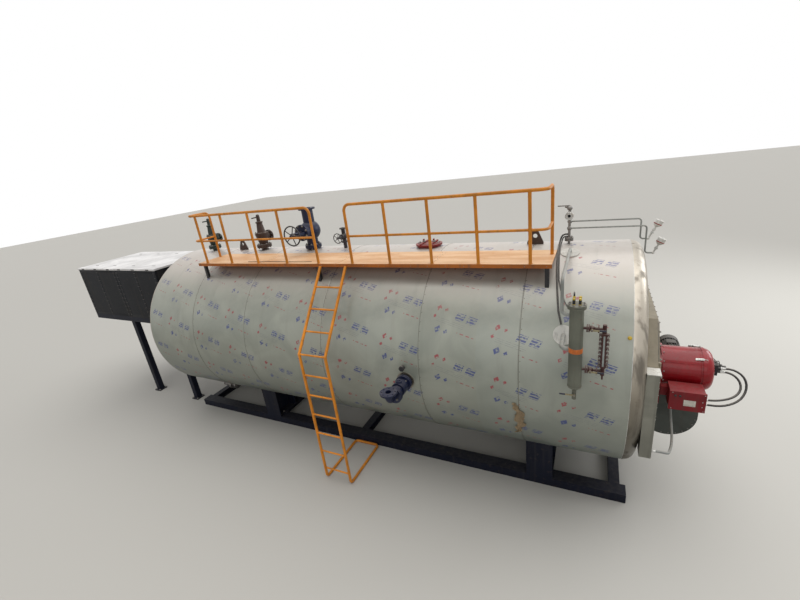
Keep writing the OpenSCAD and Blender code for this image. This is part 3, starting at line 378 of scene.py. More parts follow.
# The shell is clad in steel sheet that still has its pale protective film, with small printed marks that
# repeat round it. The sheets overlap at each seam, where rivets hold them.
BANDS = ["shell_band_%d" % i for i in range(1, 7)]
shell_low, shell_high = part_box(BANDS[0])
SHELL_R = (shell_high[1] - shell_low[1]) / 2
AXIS_Z = (shell_high[2] + shell_low[2]) / 2
SEAMS = [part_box(band)[0][0] for band in BANDS[1:]]
FILM_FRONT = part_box(BANDS[-1])[1][0]


def on_shell(x, turn, lift=0.0):
    """A point of the cladding: turn is 0 at the crown and a quarter turn towards the deck's side."""
    return Vector((x, -(SHELL_R + lift) * sin(turn), AXIS_Z + (SHELL_R + lift) * cos(turn)))


def make_mark_group():
    """A soft-edged rectangle in a cell: where it is, and its half sizes."""
    labels = {"U": 0.0, "V": 0.0, "At U": 0.0, "At V": 0.0, "Half U": 0.05, "Half V": 0.02}
    net, given, wanted = shader_group("printed_mark", labels, ("Mask",))
    sides = []
    for axis in "UV":
        off = net.away(given[axis], given["At " + axis])
        sides.append(net.ramp(net.math("SUBTRACT", given["Half " + axis], off), 0.0, 0.006))
    net.fill(wanted, {"Mask": net.times(*sides)})
    return net.tree


mark_group = make_mark_group()
CELL_LENGTH, CELL_WIDTH = 0.84, 0.62
ROW_SHIFT, ROW_SLANT = 0.37, radians(20)
SHEETS_PER_METRE = 0.82


def film_material():
    """Pale film with slanting rows of plain marks: barred blue blocks, diamonds, red dashes, fine lines."""
    material, net, shader = new_material("clad_film")
    wear = net.node("Group", node_tree=wear_group).outputs
    x, y, z = net.split(net.place())
    height = net.math("SUBTRACT", z, AXIS_Z)
    round_way = net.times(net.math("ARCTAN2", y, height), SHELL_R)
    flat = net.node("CombineXYZ", {0: x, 1: round_way}).outputs[0]
    u, v, _ = net.split(net.stretch(flat, (1 / CELL_LENGTH, 1 / CELL_WIDTH, 1.0), (0, 0, ROW_SLANT)))
    u = net.math("ADD", u, net.times(net.math("FLOOR", v), ROW_SHIFT))
    cell_u, cell_v = net.math("FRACT", u), net.math("FRACT", v)

    def mark(at_u, at_v, half_u, half_v):
        values = {"U": cell_u, "V": cell_v, "At U": at_u, "At V": at_v, "Half U": half_u, "Half V": half_v}
        return net.node("Group", values, node_tree=mark_group).outputs[0]

    def bars(along, count, gap):
        """Even bars across a cell, softened at their edges."""
        wave = net.math("FRACT", net.times(along, count))
        return net.ramp(net.away(wave, 0.5), gap, gap + 0.12)

    def diamond(at_u, at_v, size):
        reach = net.math("ADD", net.away(cell_u, at_u), net.times(net.away(cell_v, at_v), 0.6))
        return net.ramp(reach, size * 0.75, size, 1.0, 0.0)

    def with_diamonds(mask, spots):
        for spot in spots:
            mask = net.math("MAXIMUM", mask, diamond(*spot))
        return mask

    printed = net.ramp(net.noise(flat, 26.0, 5.0), 0.36, 0.54)
    blue = net.math("MAXIMUM", mark(0.74, 0.68, 0.075, 0.085), mark(0.54, 0.68, 0.075, 0.085))
    blue = net.times(blue, bars(cell_v, 17.0, 0.10))
    blue = with_diamonds(blue, ((0.30, 0.30, 0.060), (0.44, 0.30, 0.038)))
    red = net.times(mark(0.76, 0.36, 0.15, 0.013), bars(cell_u, 10.0, 0.14))
    red = with_diamonds(red, ((0.14, 0.74, 0.050), (0.27, 0.74, 0.034), (0.14, 0.54, 0.034)))
    fine = net.times(mark(0.44, 0.50, 0.24, 0.060), bars(cell_v, 26.0, 0.30))
    sheet_no = net.math("FLOOR", net.times(x, SHEETS_PER_METRE))
    sheet_no = net.node("TexWhiteNoise", {1: sheet_no}, noise_dimensions="1D").outputs[0]
    creases = net.noise(net.stretch(flat, (7.0, 0.8, 1.0)), 1.0, 4.0)
    tone = net.mix(wear["Cloud"], (0.27, 0.285, 0.24, 1), (0.36, 0.37, 0.315, 1))
    # Painted light and shade: almost white and a little pink near the crown, where the light falls, and
    # greyer and darker low down, where it is in shade; a little different from sheet to sheet; then the
    # printing, the smears and the dust.
    for cover, over in (
            # Painted light: the film near the crown is made lighter.
            (net.ramp(height, 0.9, 1.5), (0.57, 0.51, 0.46, 1)),
            # Painted shade: the film low down is made darker.
            (net.times(net.ramp(height, -1.3, 0.2, 1.0, 0.0), 0.75), (0.12, 0.135, 0.115, 1)),
            (net.times(sheet_no, 0.16), (0.28, 0.33, 0.33, 1)),
            (net.times(fine, net.times(printed, 0.35)), (0.13, 0.14, 0.17, 1)),
            (net.times(blue, net.times(printed, 0.85)), (0.03, 0.05, 0.22, 1)),
            (net.times(red, net.times(printed, 0.85)), (0.33, 0.025, 0.045, 1)),
            (net.times(net.ramp(creases, 0.52, 0.75), 0.22), (0.22, 0.23, 0.19, 1)),
            (net.times(wear["Dust"], 0.35), DUST)):
        tone = net.mix(cover, tone, over)
    bubbles = net.node("TexVoronoi", {"Vector": flat, "Scale": 34.0}).outputs[0]
    bubbles = net.ramp(bubbles, 0.05, 0.22, 1.0, 0.0)
    lift = net.math("ADD", net.times(creases, 1.2), net.times(bubbles, 0.25))
    net.fill(shader, {
        "Base Color": tone, "Roughness": net.between(wear["Cloud"], 0.30, 0.46),
        "Normal": net.bump(lift, 0.25, 0.004), "Metallic": 0.2,
        "Specular IOR Level": 0.4, "Coat Weight": 0.12, "Coat Roughness": 0.2})
    return material


def dress(material, *nodes):
    """Gives nodes of the frame their surface."""
    for node in nodes:
        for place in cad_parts[node].material_slots:
            place.material = material


dress(film_material(), *BANDS)


def make_repeat_tree():
    """Puts a stamp on each point, along the point's aim, with a turn of its own."""
    tree = bpy.data.node_groups.new("repeat", "GeometryNodeTree")
    sockets = {"Geometry": "Geometry", "Stamp": "Object", "Material": "Material", "Seed": "Int"}
    for label, kind in sockets.items():
        tree.interface.new_socket(name=label, in_out="INPUT", socket_type="NodeSocket" + kind)
    tree.interface.new_socket(name="Geometry", in_out="OUTPUT", socket_type="NodeSocketGeometry")
    given = tree.nodes.new("NodeGroupInput").outputs
    form, maths = Net(tree, "GeometryNode"), Net(tree, "FunctionNode")
    aim = form.node("InputNamedAttribute", {"Name": "aim"}, data_type="FLOAT_VECTOR").outputs[0]
    along = maths.node("AlignRotationToVector", {"Vector": aim}, axis="Z").outputs[0]
    angle = maths.node("RandomValue", {2: 0.0, 3: tau, 8: given["Seed"]}, data_type="FLOAT").outputs[1]
    spin = maths.node("AxisAngleToRotation", {"Axis": UP, "Angle": angle}).outputs[0]
    turned = maths.node("RotateRotation", {0: along, 1: spin}, rotation_space="LOCAL").outputs[0]
    stamp = form.node("ObjectInfo", {"Object": given["Stamp"]}).outputs["Geometry"]
    values = {"Points": given["Geometry"], "Instance": stamp, "Rotation": turned}
    copies = form.node("InstanceOnPoints", values).outputs[0]
    real = form.node("RealizeInstances", {"Geometry": copies}).outputs[0]
    painted = form.node("SetMaterial", {"Geometry": real, "Material": given["Material"]}).outputs[0]
    form.fill(tree.nodes.new("NodeGroupOutput").inputs, {0: painted})
    return tree


repeat_tree = make_repeat_tree()


def repeat(name, stamp, places, material, slot):
    """One piece of many like stamps; places is a list of (point, aim)."""
    mesh = bpy.data.meshes.new(name + "_points")
    mesh.from_pydata([tuple(p) for p, _ in places], [], [])
    aims = mesh.attributes.new("aim", "FLOAT_VECTOR", "POINT")
    aims.data.foreach_set("vector", [c for _, aim in places for c in Vector(aim).normalized()])
    points = bpy.data.objects.new(name + "_points", mesh)
    model = bpy.data.objects.new(name + "_stamp", stamp)
    for thing in (points, model):
        bpy.context.scene.collection.objects.link(thing)
    modifier = points.modifiers.new("repeat", "NODES")
    modifier.node_group = repeat_tree
    wanted = {"Stamp": model, "Material": material, "Seed": 1}
    for item in repeat_tree.interface.items_tree:
        if item.in_out == "INPUT" and item.name in wanted:
            modifier[item.identifier] = wanted[item.name]
    bpy.context.view_layer.update()
    ready = points.evaluated_get(bpy.context.evaluated_depsgraph_get())
    result = bpy.data.meshes.new_from_object(ready)
    result.name = name
    for thing in (points, model):
        bpy.data.objects.remove(thing)
    bpy.data.meshes.remove(mesh)
    put(name, result, material, slot)


sheet_steel = finish(
    "sheet_steel", (0.17, 0.16, 0.135), (0.3, 0.28, 0.24), rough=0.4, dust=0.15, metal=0.5, size=2.0)


def rivet(bm):
    add_lathe(bm, [(0.006, -0.001), (0.006, 0.0004), (0.0045, 0.0016), (0, 0.0022)], sides=8)


RIVET_PITCH, RIVET_FROM_SEAM = 0.13, 0.022
rivet_turns = [k * RIVET_PITCH / SHELL_R for k in range(int(tau * SHELL_R / RIVET_PITCH))]
rivet_places = [(on_shell(seam + RIVET_FROM_SEAM, turn), on_shell(0, turn) - Vector((0, 0, AXIS_Z)))
                for seam in SEAMS for turn in rivet_turns]
repeat("seam_rivets", made_mesh("rivet", rivet), rivet_places, sheet_steel, "clad_film")


def join_rings(bm, rings, closed=False):
    """Faces between each ring of corners and the next."""
    for a, b in zip(rings, rings[1:] + (rings[:1] if closed else [])):
        for k in range(len(a)):
            n = (k + 1) % len(a)
            bm.faces.new((a[k], a[n], b[n], b[k]))


def add_ring(bm, radius, thickness, at, axis, sides=32, steps=8, flat=1.0):
    """A closed round ring, such as a gasket or weld."""
    matrix = square_to(axis, at)
    rings = []
    for k in range(sides):
        turn = tau * k / sides
        line = []
        for out, height in circle(steps, thickness):
            place = Vector(((radius + out) * cos(turn), (radius + out) * sin(turn), flat * height))
            line.append(bm.verts.new(matrix @ place))
        rings.append(line)
    join_rings(bm, rings, True)


@piece(sheet_steel, "clad_film")
def seam_laps(bm):
    """The raised edge of the sheet that lies on top at each seam."""
    for seam in SEAMS:
        add_ring(bm, SHELL_R + 0.0002, 0.0022, (seam + 0.007, 0, AXIS_Z), FORE, sides=180, steps=6, flat=1.6)


# A piece of the protective film hangs torn off the cladding near the front, with its tan gummed side out.
film_back = finish(
    "film_back", (0.50, 0.38, 0.24), (0.34, 0.24, 0.15), rough=0.6, dust=0.3, chips=0.6, size=4.0)
FLAP_TOP_Z, FLAP_BOTTOM_Z = 1.79, 1.22
FLAP_X = 2.93


@piece(film_back, "clad_film")
def torn_film(bm):
    """A strip that widens and curls more and more on its way down."""
    rows, columns = 26, 10
    rng = Random(4)
    wobble = [rng.uniform(-0.02, 0.02) for _ in range(rows)]
    grid = []
    for i in range(rows):
        t = i / (rows - 1)
        z = FLAP_TOP_Z + (FLAP_BOTTOM_Z - FLAP_TOP_Z) * t
        turn = pi / 2 + asin((AXIS_Z - z) / SHELL_R)
        half = 0.010 + 0.048 * sin(pi * min(1.0, 0.12 + t * 0.8)) ** 1.4
        line = []
        for k in range(columns):
            s = k / (columns - 1) * 2 - 1
            x = FLAP_X + 0.05 * sin(3.4 * t) + s * half + wobble[i] * (0.4 + abs(s))
            curl = 0.004 + 0.016 * t * (0.5 + 0.5 * sin(5 * s + 7 * t)) + 0.02 * max(0.0, abs(s) - 0.7)
            line.append(bm.verts.new(on_shell(x, turn, curl)))
        grid.append(line)
    for a, b in zip(grid, grid[1:]):
        for k in range(columns - 1):
            bm.faces.new((a[k], a[k + 1], b[k + 1], b[k]))
    bmesh.ops.solidify(bm, geom=bm.faces[:], thickness=0.0007)


# The ends of the shell are bare steel: the front has a rolled edge that shines where the film stops, and the
# rear carries a round inspection door on a ring of studs.
end_steel = finish(
    "end_steel", (0.40, 0.36, 0.30), (0.20, 0.15, 0.11),
    rough=0.33, dust=0.25, chips=0.25, runs=0.6, metal=0.85, size=0.8, bump=0.12)
dress(end_steel, "front_end", "rear_end")
steel_net = Net(end_steel.node_tree)
steel_shader = end_steel.node_tree.nodes["Principled BSDF"].inputs
steel_tone = steel_shader["Base Color"].links[0].from_socket
# The steel's colour is made darker towards the bottom: most below 1.3 m, and not at all above 2.6 m.
darker_low_down = steel_net.ramp(steel_net.split(steel_net.place())[2], 1.3, 2.6, 0.75, 0.0)
steel_net.fill(steel_shader, {"Base Color": steel_net.mix(darker_low_down, steel_tone, (0.075, 0.07, 0.055, 1))})


@piece(zinc, "end_steel")
def front_rim(bm):
    add_ring(bm, SHELL_R - 0.0004, 0.0022, (FILM_FRONT, 0, AXIS_Z), FORE, sides=180, steps=6, flat=1.5)


def hex_bolt(size):
    """A washer, a hexagon nut with chamfered corners and the end of its stud."""
    washer = ((1.05, -0.001 / size), (1.05, 0.16), (0.6, 0.16))
    nut = ((0.7, 0.16), (0.86, 0.28), (0.86, 0.8), (0.7, 0.92), (0.4, 0.92))
    stud = ((0.46, 0.9), (0.46, 1.25), (0.38, 1.35), (0, 1.35))

    def build(bm):
        for rows, sides in ((washer, 12), (nut, 6), (stud, 8)):
            add_lathe(bm, [(size * radius, size * height) for radius, height in rows], sides=sides)
    return build


bolt_8, bolt_12, bolt_16, bolt_20 = (made_mesh("bolt_%d" % d, hex_bolt(d * MM)) for d in (8, 12, 16, 20))
bolt_steel = finish(
    "bolt_steel", (0.22, 0.21, 0.20), (0.20, 0.10, 0.05), rough=0.45, dust=0.4, metal=0.7, size=6.0)


def on_circle(at, axis, radius, count):
    """Places on a bolt circle, each aimed along the circle's axis."""
    matrix = square_to(axis, at)
    aim = Vector(axis).normalized()
    return [(matrix @ Vector((x, y, 0.0)), aim) for x, y in circle(count, radius, 0.5)]


def bolt_circle(name, stamp, slot, *circle_parts):
    """One piece of bolts on one circle."""
    repeat(name, stamp, on_circle(*circle_parts), bolt_steel, slot)


REAR_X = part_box("rear_end")[0][0]
DOOR_Z = AXIS_Z - SHELL_R / 2
bolt_circle("rear_door_nuts", bolt_16, "end_steel", (REAR_X, 0, DOOR_Z), REAR, 0.33, 20)


def add_tube(bm, points, radius, sides=10, ripple=0.0, closed=False):
    """A tube along a route, with frames that don't twist; a ripple swells it every second ring."""
    points = [Vector(p) for p in points]
    count = len(points)
    turns = [tau * k / sides for k in range(sides)]
    rings, up = [], None
    for i, p in enumerate(points):
        before = points[i - 1] if i or closed else p
        after = points[(i + 1) % count] if i < count - 1 or closed else p
        way = (after - before).normalized()
        up = (up - way * up.dot(way)) if up else way.orthogonal()
        up.normalize()
        side = way.cross(up)
        r = radius * (1 + (ripple if i % 2 else -ripple))
        rings.append([bm.verts.new(p + (up * cos(turn) + side * sin(turn)) * r) for turn in turns])
    join_rings(bm, rings, closed)
    if not closed:
        bm.faces.new(rings[0])
        bm.faces.new(rings[-1])


@piece(end_steel, "end_steel")
def rear_door_cover(bm):
    """The dished cover with two bow handles, and the davit that it swings on."""
    x, z = REAR_X, DOOR_Z
    dish = [(0.27, 0), (0.27, 0.012), (0.22, 0.03), (0.1, 0.045), (0, 0.048)]
    add_lathe(bm, dish, (x + 0.001, 0, z), REAR, 40)
    for y in (-0.13, 0.13):
        bow = ((0, -0.07), (-0.06, -0.07), (-0.075, 0), (-0.06, 0.07), (0, 0.07))
        add_tube(bm, [(x + out, y, z + up) for out, up in bow], 0.009)
    davit = ((0.09, 0.40, 0.5), (0.02, 0.40, 0.5), (0.02, 0.40, 0.1), (0.02, 0.34, 0))
    add_tube(bm, [(x + out, y, z + up) for out, y, up in davit], 0.018, 12)


# The smoke box stands on the front end: beige painted plate, with two doors that meet over the burner and are
# held by bolts all round. A rope gasket shows as a dark line behind each door's edge.
beige = finish(
    "smoke_box_paint", (0.25, 0.215, 0.15), (0.16, 0.11, 0.07),
    rough=0.42, dust=0.25, chips=0.3, runs=0.28, size=1.2)
dress(beige, "smoke_box")
smoke_low, smoke_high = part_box("smoke_box")
SMOKE_FRONT = smoke_high[0]
DOOR_INSET, DOOR_T, SMOKE_CUT = 0.06, 0.025, 0.41


def octagon(inset, x):
    """The cut-cornered outline of the smoke box, moved in by inset."""
    half_y, half_z = smoke_high[1] - inset, (smoke_high[2] - smoke_low[2]) / 2 - inset
    middle = (smoke_high[2] + smoke_low[2]) / 2
    cut = SMOKE_CUT - inset * 0.6
    upper = [(half_y, half_z - cut), (half_y - cut, half_z), (cut - half_y, half_z), (-half_y, half_z - cut)]
    return [Vector((x, y, middle + z)) for y, z in upper + [(-y, -z) for y, z in upper]]


def on_outline(corners, pitch):
    """Places at an even pitch along a closed outline of corners, aimed forwards."""
    places = []
    for a, b in zip(corners, corners[1:] + corners[:1]):
        a, b = Vector(a), Vector(b)
        count = max(1, round((b - a).length / pitch))
        places += [(a.lerp(b, (k + 0.5) / count), FORE) for k in range(count)]
    return places


mount_low, mount_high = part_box("burner_mount")
MOUNT_CLEAR = 0.03
door_bolts = [
    (p, aim) for p, aim in on_outline(octagon(DOOR_INSET + 0.035, SMOKE_FRONT), 0.17)
    if abs(p.y) >= mount_high[1] + MOUNT_CLEAR
    or not mount_low[2] - MOUNT_CLEAR < p.z < mount_high[2] + MOUNT_CLEAR]
repeat("smoke_door_bolts", bolt_12, door_bolts, bolt_steel, "end_steel")


@piece(rubber, "end_steel")
def door_gasket(bm):
    add_tube(bm, octagon(DOOR_INSET - 0.006, SMOKE_FRONT - DOOR_T), 0.006, 6, closed=True)


@piece(bolt_steel, "end_steel")
def door_handles(bm):
    """A lever handle on each door, low in the middle, and two covered openings near their tops."""
    top = mount_high[2] + 0.17
    for y in (-0.11, 0.11):
        boss = [(0.03, -0.001), (0.03, 0.006), (0.016, 0.01), (0.016, 0.045)]
        add_lathe(bm, boss, (SMOKE_FRONT, y, top), FORE, 16)
        lever = ((0.045, 0.02), (0.05, -0.05), (0.07, -0.13))
        add_tube(bm, [(SMOKE_FRONT + out, y, top + up) for out, up in lever], 0.009)
    for y in (-0.55, 0.55):
        cover = [(0.045, -0.001), (0.045, 0.012), (0.03, 0.016), (0.03, 0.02), (0, 0.02)]
        add_lathe(bm, cover, (SMOKE_FRONT, y, smoke_high[2] - 0.25), FORE, 20)


# A cable trunking of bright brushed sheet runs up beside the smoke box under a white cap. Its cover is in two
# lengths, each screwed on.
brushed = finish(
    "brushed_sheet", (0.24, 0.24, 0.21), (0.20, 0.18, 0.15),
    rough=0.3, dust=0.12, chips=0.1, metal=0.9, size=1.5)
dress(brushed, "cable_trunking")
trunk_low, trunk_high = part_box("cable_trunking")
trunk_x, trunk_y, _ = [(a + b) / 2 for a, b in zip(trunk_low, trunk_high)]


def add_block(bm, at, size, turn=None, bevel=0.002):
    """A block with softened edges, turned about its middle."""
    matrix = Matrix.Translation(Vector(at)) @ (turn or Matrix.Identity(4)) @ Matrix.Diagonal((*size, 1.0))
    made = bmesh.ops.create_cube(bm, size=1.0, matrix=matrix)["verts"]
    if bevel:
        edges = list({e for v in made for e in v.link_edges})
        bmesh.ops.bevel(bm, geom=edges, offset=bevel, segments=2, affect="EDGES", profile=0.6)


@piece(brushed, "bright_trunking")
def trunking_cover(bm):
    """Two lengths of cover on the front, and the flat top under the cap."""
    length = (trunk_high[2] - trunk_low[2] - 0.05) / 2
    for k in range(2):
        z = trunk_low[2] + 0.01 + length * (k + 0.5)
        place = (trunk_high[0] - 0.010, trunk_y - 0.002, z)
        add_block(bm, place, (0.004, 0.128, length - 0.006), bevel=0.001)
    add_block(bm, (trunk_high[0] - 0.06, trunk_y, trunk_high[2] - 0.001), (0.118, 0.148, 0.005))


white_cap = finish("white_cap", (0.74, 0.73, 0.68), (0.45, 0.42, 0.36), rough=0.4, dust=0.45, size=3.0)


@piece(white_cap, "bright_trunking")
def trunking_cap(bm):
    add_block(bm, (trunk_x, trunk_y, trunk_high[2] + 0.0005), (0.134, 0.162, 0.009), bevel=0.003)
    add_block(bm, (trunk_high[0] + 0.001, trunk_y, trunk_high[2] - 0.014), (0.005, 0.16, 0.03), bevel=0.001)


def pan_screw(bm):
    head = [(0.0055, -0.0005), (0.0055, 0.001), (0.004, 0.0028), (0.0015, 0.0032), (0, 0.0024)]
    add_lathe(bm, head, sides=10)


screw_stamp = made_mesh("pan_screw", pan_screw)
cover_screws = [((trunk_high[0] - 0.008, y, trunk_low[2] + 0.06 + 0.16 * k), FORE)
                for k in range(7) for y in (trunk_low[1] + 0.02, trunk_high[1] - 0.018)]
repeat("trunking_screws", screw_stamp, cover_screws, zinc, "bright_trunking")

# The burner is a round housing in gloss crimson on a thick mounting plate, with a pressed bead near its end,
# a welded seam along its side, a spring latch and a control box below. Its rating plate is blank.
crimson = finish(
    "crimson_gloss", (0.27, 0.004, 0.009), (0.08, 0.015, 0.015),
    rough=0.2, dust=0.04, chips=0.12, runs=0.2, size=1.6, bump=0.08, coat=0.25, gloss=0.2)
dark_crimson = finish(
    "crimson_worn", (0.20, 0.005, 0.010), (0.08, 0.02, 0.015), rough=0.34, dust=0.08, chips=0.2, size=2.0)
dress(crimson, "burner_housing")
dress(dark_crimson, "control_box", "burner_mount")
house_low, house_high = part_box("burner_housing")
BURNER_Z = (house_low[2] + house_high[2]) / 2
BURNER_R = 0.28
BURNER_X, BURNER_END = house_low[0], house_high[0]
BEAD_X = BURNER_END - 0.112
box_low, box_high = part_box("control_box")
flange_at = (BURNER_X + 0.02, 0, BURNER_Z)
bolt_circle("burner_flange_bolts", bolt_12, "burner_red", flange_at, FORE, BURNER_R + 0.013, 14)
mount_y, mount_z = mount_high[1] - 0.02, (mount_high[2] - mount_low[2]) / 2 - 0.02
mount_corners = [(SMOKE_FRONT + 0.024, y * mount_y, (mount_high[2] + mount_low[2]) / 2 + z * mount_z)
                 for y, z in ((1, 1), (-1, 1), (-1, -1), (1, -1))]
repeat("burner_mount_bolts", bolt_16, on_outline(mount_corners, 0.18), bolt_steel, "burner_red")


def on_housing(x, turn, lift=0.0):
    """A point on the burner's side: turn is 0 at its top and a quarter turn towards the control box."""
    return Vector((x, -(BURNER_R + lift) * sin(turn), BURNER_Z + (BURNER_R + lift) * cos(turn)))


@piece(crimson, "burner_red")
def burner_seams(bm):
    """The welded seam along the side, and the ring joint where the end cover starts."""
    points = [on_housing(BURNER_X + 0.022 + 0.012 * k, radians(52), 0.0005) for k in range(35)]
    add_tube(bm, points, 0.0028, 6, ripple=0.15)
    add_ring(bm, BURNER_R + 0.0005, 0.0022, (BEAD_X - 0.04, 0, BURNER_Z), FORE, sides=96, steps=6)


@piece(zinc, "bright_fitting")
def burner_latch(bm):
    """An over-centre latch, its hook and two hinge lugs on the end cover."""
    turn = radians(38)
    for back, length, lift in ((0.075, 0.05, 0.006), (0.02, 0.03, 0.012), (0.045, 0.06, 0.014)):
        place = on_housing(BEAD_X - back, turn, lift)
        add_block(bm, place, (length, 0.028, 0.008), Matrix.Rotation(turn, 4, "X"))
    for hinge in (radians(-60), radians(-80)):
        place = on_housing(BEAD_X - 0.04, hinge, 0.012)
        add_lathe(bm, [(0.012, -0.03), (0.012, 0.03), (0.006, 0.034)], place, FORE, 12)
    hook = ((-0.06, 0.016), (-0.01, 0.022), (0.03, 0.008))
    add_tube(bm, [on_housing(BEAD_X + along, turn, lift) for along, lift in hook], 0.0035, 8)


plate_grey = finish(
    "plate_grey", (0.60, 0.58, 0.52), (0.35, 0.32, 0.28), rough=0.4, dust=0.25, size=5.0, metal=0.3)


@piece(plate_grey, "bright_fitting")
def blank_plate(bm):
    middle_x = (box_low[0] + box_high[0]) / 2
    place = (middle_x + 0.06, box_low[1] - 0.0008, box_low[2] + 0.115)
    add_block(bm, place, (0.125, 0.003, 0.085), bevel=0.001)


lid_screws = [((x, box_low[1], z), NEAR) for x in (box_low[0] + 0.1, box_high[0] - 0.018)
              for z in (box_low[2] + 0.018, box_high[2] - 0.018)]
lid_screws += [((box_high[0] - 0.035 - k, box_low[1] - 0.0022, box_low[2] + z), NEAR)
               for k in (0.0, 0.105) for z in (0.08, 0.15)]
repeat("box_screws", screw_stamp, lid_screws, zinc, "bright_fitting")


@piece(rubber, "black_rubber")
def box_glands(bm):
    """Cable glands under the control box, and a lamp and a push button with plain guards on its lid."""
    gland = [(0.014, -0.001), (0.014, 0.008), (0.011, 0.009), (0.011, 0.02), (0.008, 0.024), (0, 0.024)]
    button = [(0.014, -0.001), (0.014, 0.006), (0.010, 0.008), (0.010, 0.014), (0, 0.015)]
    for k in range(4):
        add_lathe(bm, gland, (box_high[0] - 0.06 - 0.05 * k, box_low[1] + 0.12, box_low[2] + 0.0055), DOWN, 6)
    for k in range(2):
        add_lathe(bm, button, (box_low[0] + 0.13 + 0.05 * k, box_low[1], box_high[2] - 0.06), NEAR, 16)


# The end cover carries the nozzle lines, which are two thin looped oil pipes, a sight glass, and the nozzle
# block on four screws.
nozzle_low, nozzle_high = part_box("nozzle_block")
cast_black = finish(
    "cast_black", (0.02, 0.02, 0.023), (0.09, 0.055, 0.04),
    rough=0.5, dust=0.25, chips=0.2, size=4.0, bump=0.4)
copper = finish("oil_pipe", (0.05, 0.05, 0.05), (0.2, 0.1, 0.05), rough=0.35, dust=0.3, size=8.0)
dress(cast_black, "nozzle_block")


def bend_through(points, steps=8):
    """A smooth line through a few points."""
    points = [Vector(p) for p in points]
    padded = [points[0] * 2 - points[1]] + points + [points[-1] * 2 - points[-2]]
    line = []
    for a, b, c, d in zip(padded, padded[1:], padded[2:], padded[3:]):
        for k in range(steps):
            t = k / steps
            line.append(0.5 * (2 * b + (c - a) * t + (2 * a - 5 * b + 4 * c - d) * t * t
                               + (3 * b - a - 3 * c + d) * t ** 3))
    return line + [points[-1]]


@piece(copper, "black_rubber")
def nozzle_lines(bm):
    end, top, foot = nozzle_low[0], BURNER_Z + 0.15, nozzle_high[2]
    thick = ((0.003, -0.06, top), (0.03, -0.065, top + 0.005), (0.075, -0.07, top - 0.03),
             (0.085, -0.07, top - 0.09), (0.06, -0.05, foot + 0.03), (0.03, -0.03, foot - 0.003))
    thin = ((0.003, 0.05, top - 0.01), (0.025, 0.05, top - 0.005), (0.05, 0.04, top - 0.04),
            (0.045, 0.02, top - 0.07), (0.03, 0.0, foot - 0.003))
    for route, width, radius in ((thick, 0.005, 0.011), (thin, 0.0035, 0.009)):
        add_tube(bm, bend_through([(end + out, y, z) for out, y, z in route]), width, 8)
        _, y, z = route[0]
        add_lathe(bm, [(radius, -0.001), (radius, 0.008), (radius * 0.7, 0.012)], (end, y, z), FORE, 6)


@piece(cast_black, "black_casting")
def cover_sight_glass(bm):
    """A sight glass and a smaller plug on the end cover."""
    for y, z, radius in ((0.13, BURNER_Z + 0.05, 0.03), (-0.02, BURNER_Z - 0.17, 0.022)):
        rim = ((1, -0.001), (1, 0.012), (0.75, 0.014), (0.7, 0.008), (0, 0.008))
        add_lathe(bm, [(radius * share, height) for share, height in rim], (BURNER_END, y, z), FORE, 20)


nozzle_screws = [((nozzle_low[0] + 0.05, nozzle_low[1] + y, nozzle_low[2] + z), FORE)
                 for y in (0.075, 0.14) for z in (0.014, 0.137)]
repeat("nozzle_screws", bolt_8, nozzle_screws, bolt_steel, "black_casting")
end_at = (BURNER_END, 0, BURNER_Z)
bolt_circle("cover_screws", bolt_8, "black_casting", end_at, FORE, BURNER_R - 0.115, 10)

# The combustion fan hangs below in a dark grey rounded housing: flanged rims with bolts, an air inlet with a
# grille on the far side, and a black finned motor with a terminal box that drives it.
cast_grey = finish(
    "cast_grey", (0.055, 0.062, 0.055), (0.13, 0.10, 0.07),
    rough=0.5, dust=0.3, chips=0.2, size=2.0, bump=0.4)
dress(cast_grey, "fan_housing")
dress(cast_black, "burner_motor")
fan_low, fan_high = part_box("fan_housing")
motor_low, motor_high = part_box("burner_motor")
FAN_X, FAN_Z, RIM_BOLTS_R = BURNER_X + 0.13, BURNER_Z - 0.619, 0.32
rim_places = []
for y, way in ((fan_low[1], NEAR), (fan_high[1] - 0.05, FAR)):
    for k in range(12):
        turn = pi + pi * (k + 0.5) / 12
        x = FAN_X + RIM_BOLTS_R * cos(turn)
        if x > BURNER_X + 0.02:
            rim_places.append(((x, y, FAN_Z + RIM_BOLTS_R * sin(turn)), way))
repeat("fan_rim_bolts", bolt_8, rim_places, bolt_steel, "dark_grey_casting")


@piece(cast_black, "dark_grey_casting")
def fan_inlet_grille(bm):
    """Concentric rings on four spokes over the fan's inlet."""
    at = Vector((FAN_X, fan_high[1] - 0.004, FAN_Z))
    for k in range(6):
        add_ring(bm, 0.03 + 0.025 * k, 0.0025, at, FAR, 40, 6)
    for turn in (radians(a) for a in (45, 135, 225, 315)):
        way = Vector((cos(turn), 0, sin(turn)))
        add_tube(bm, [at + way * 0.02, at + way * 0.16], 0.003, 6)


@piece(cast_black, "black_casting")
def motor_details(bm):
    """The terminal box on the motor, its lid, and the slots of the fan cover."""
    x, z = (motor_low[0] + motor_high[0]) / 2, (motor_low[2] + motor_high[2]) / 2
    top = motor_high[2] - 0.016
    add_block(bm, (x, motor_low[1] + 0.20, top + 0.006), (0.11, 0.10, 0.03), bevel=0.006)
    add_block(bm, (x, motor_low[1] + 0.20, top + 0.012), (0.12, 0.11, 0.008), bevel=0.003)
    at = Vector((x, motor_high[1], z))
    for k in range(4):
        add_ring(bm, 0.03 + 0.024 * k, 0.003, at - Vector((0, 0.001, 0)), FAR, 40, 6)
    add_ring(bm, 0.127, 0.004, at - Vector((0, 0.004, 0)), FAR, 48, 8)


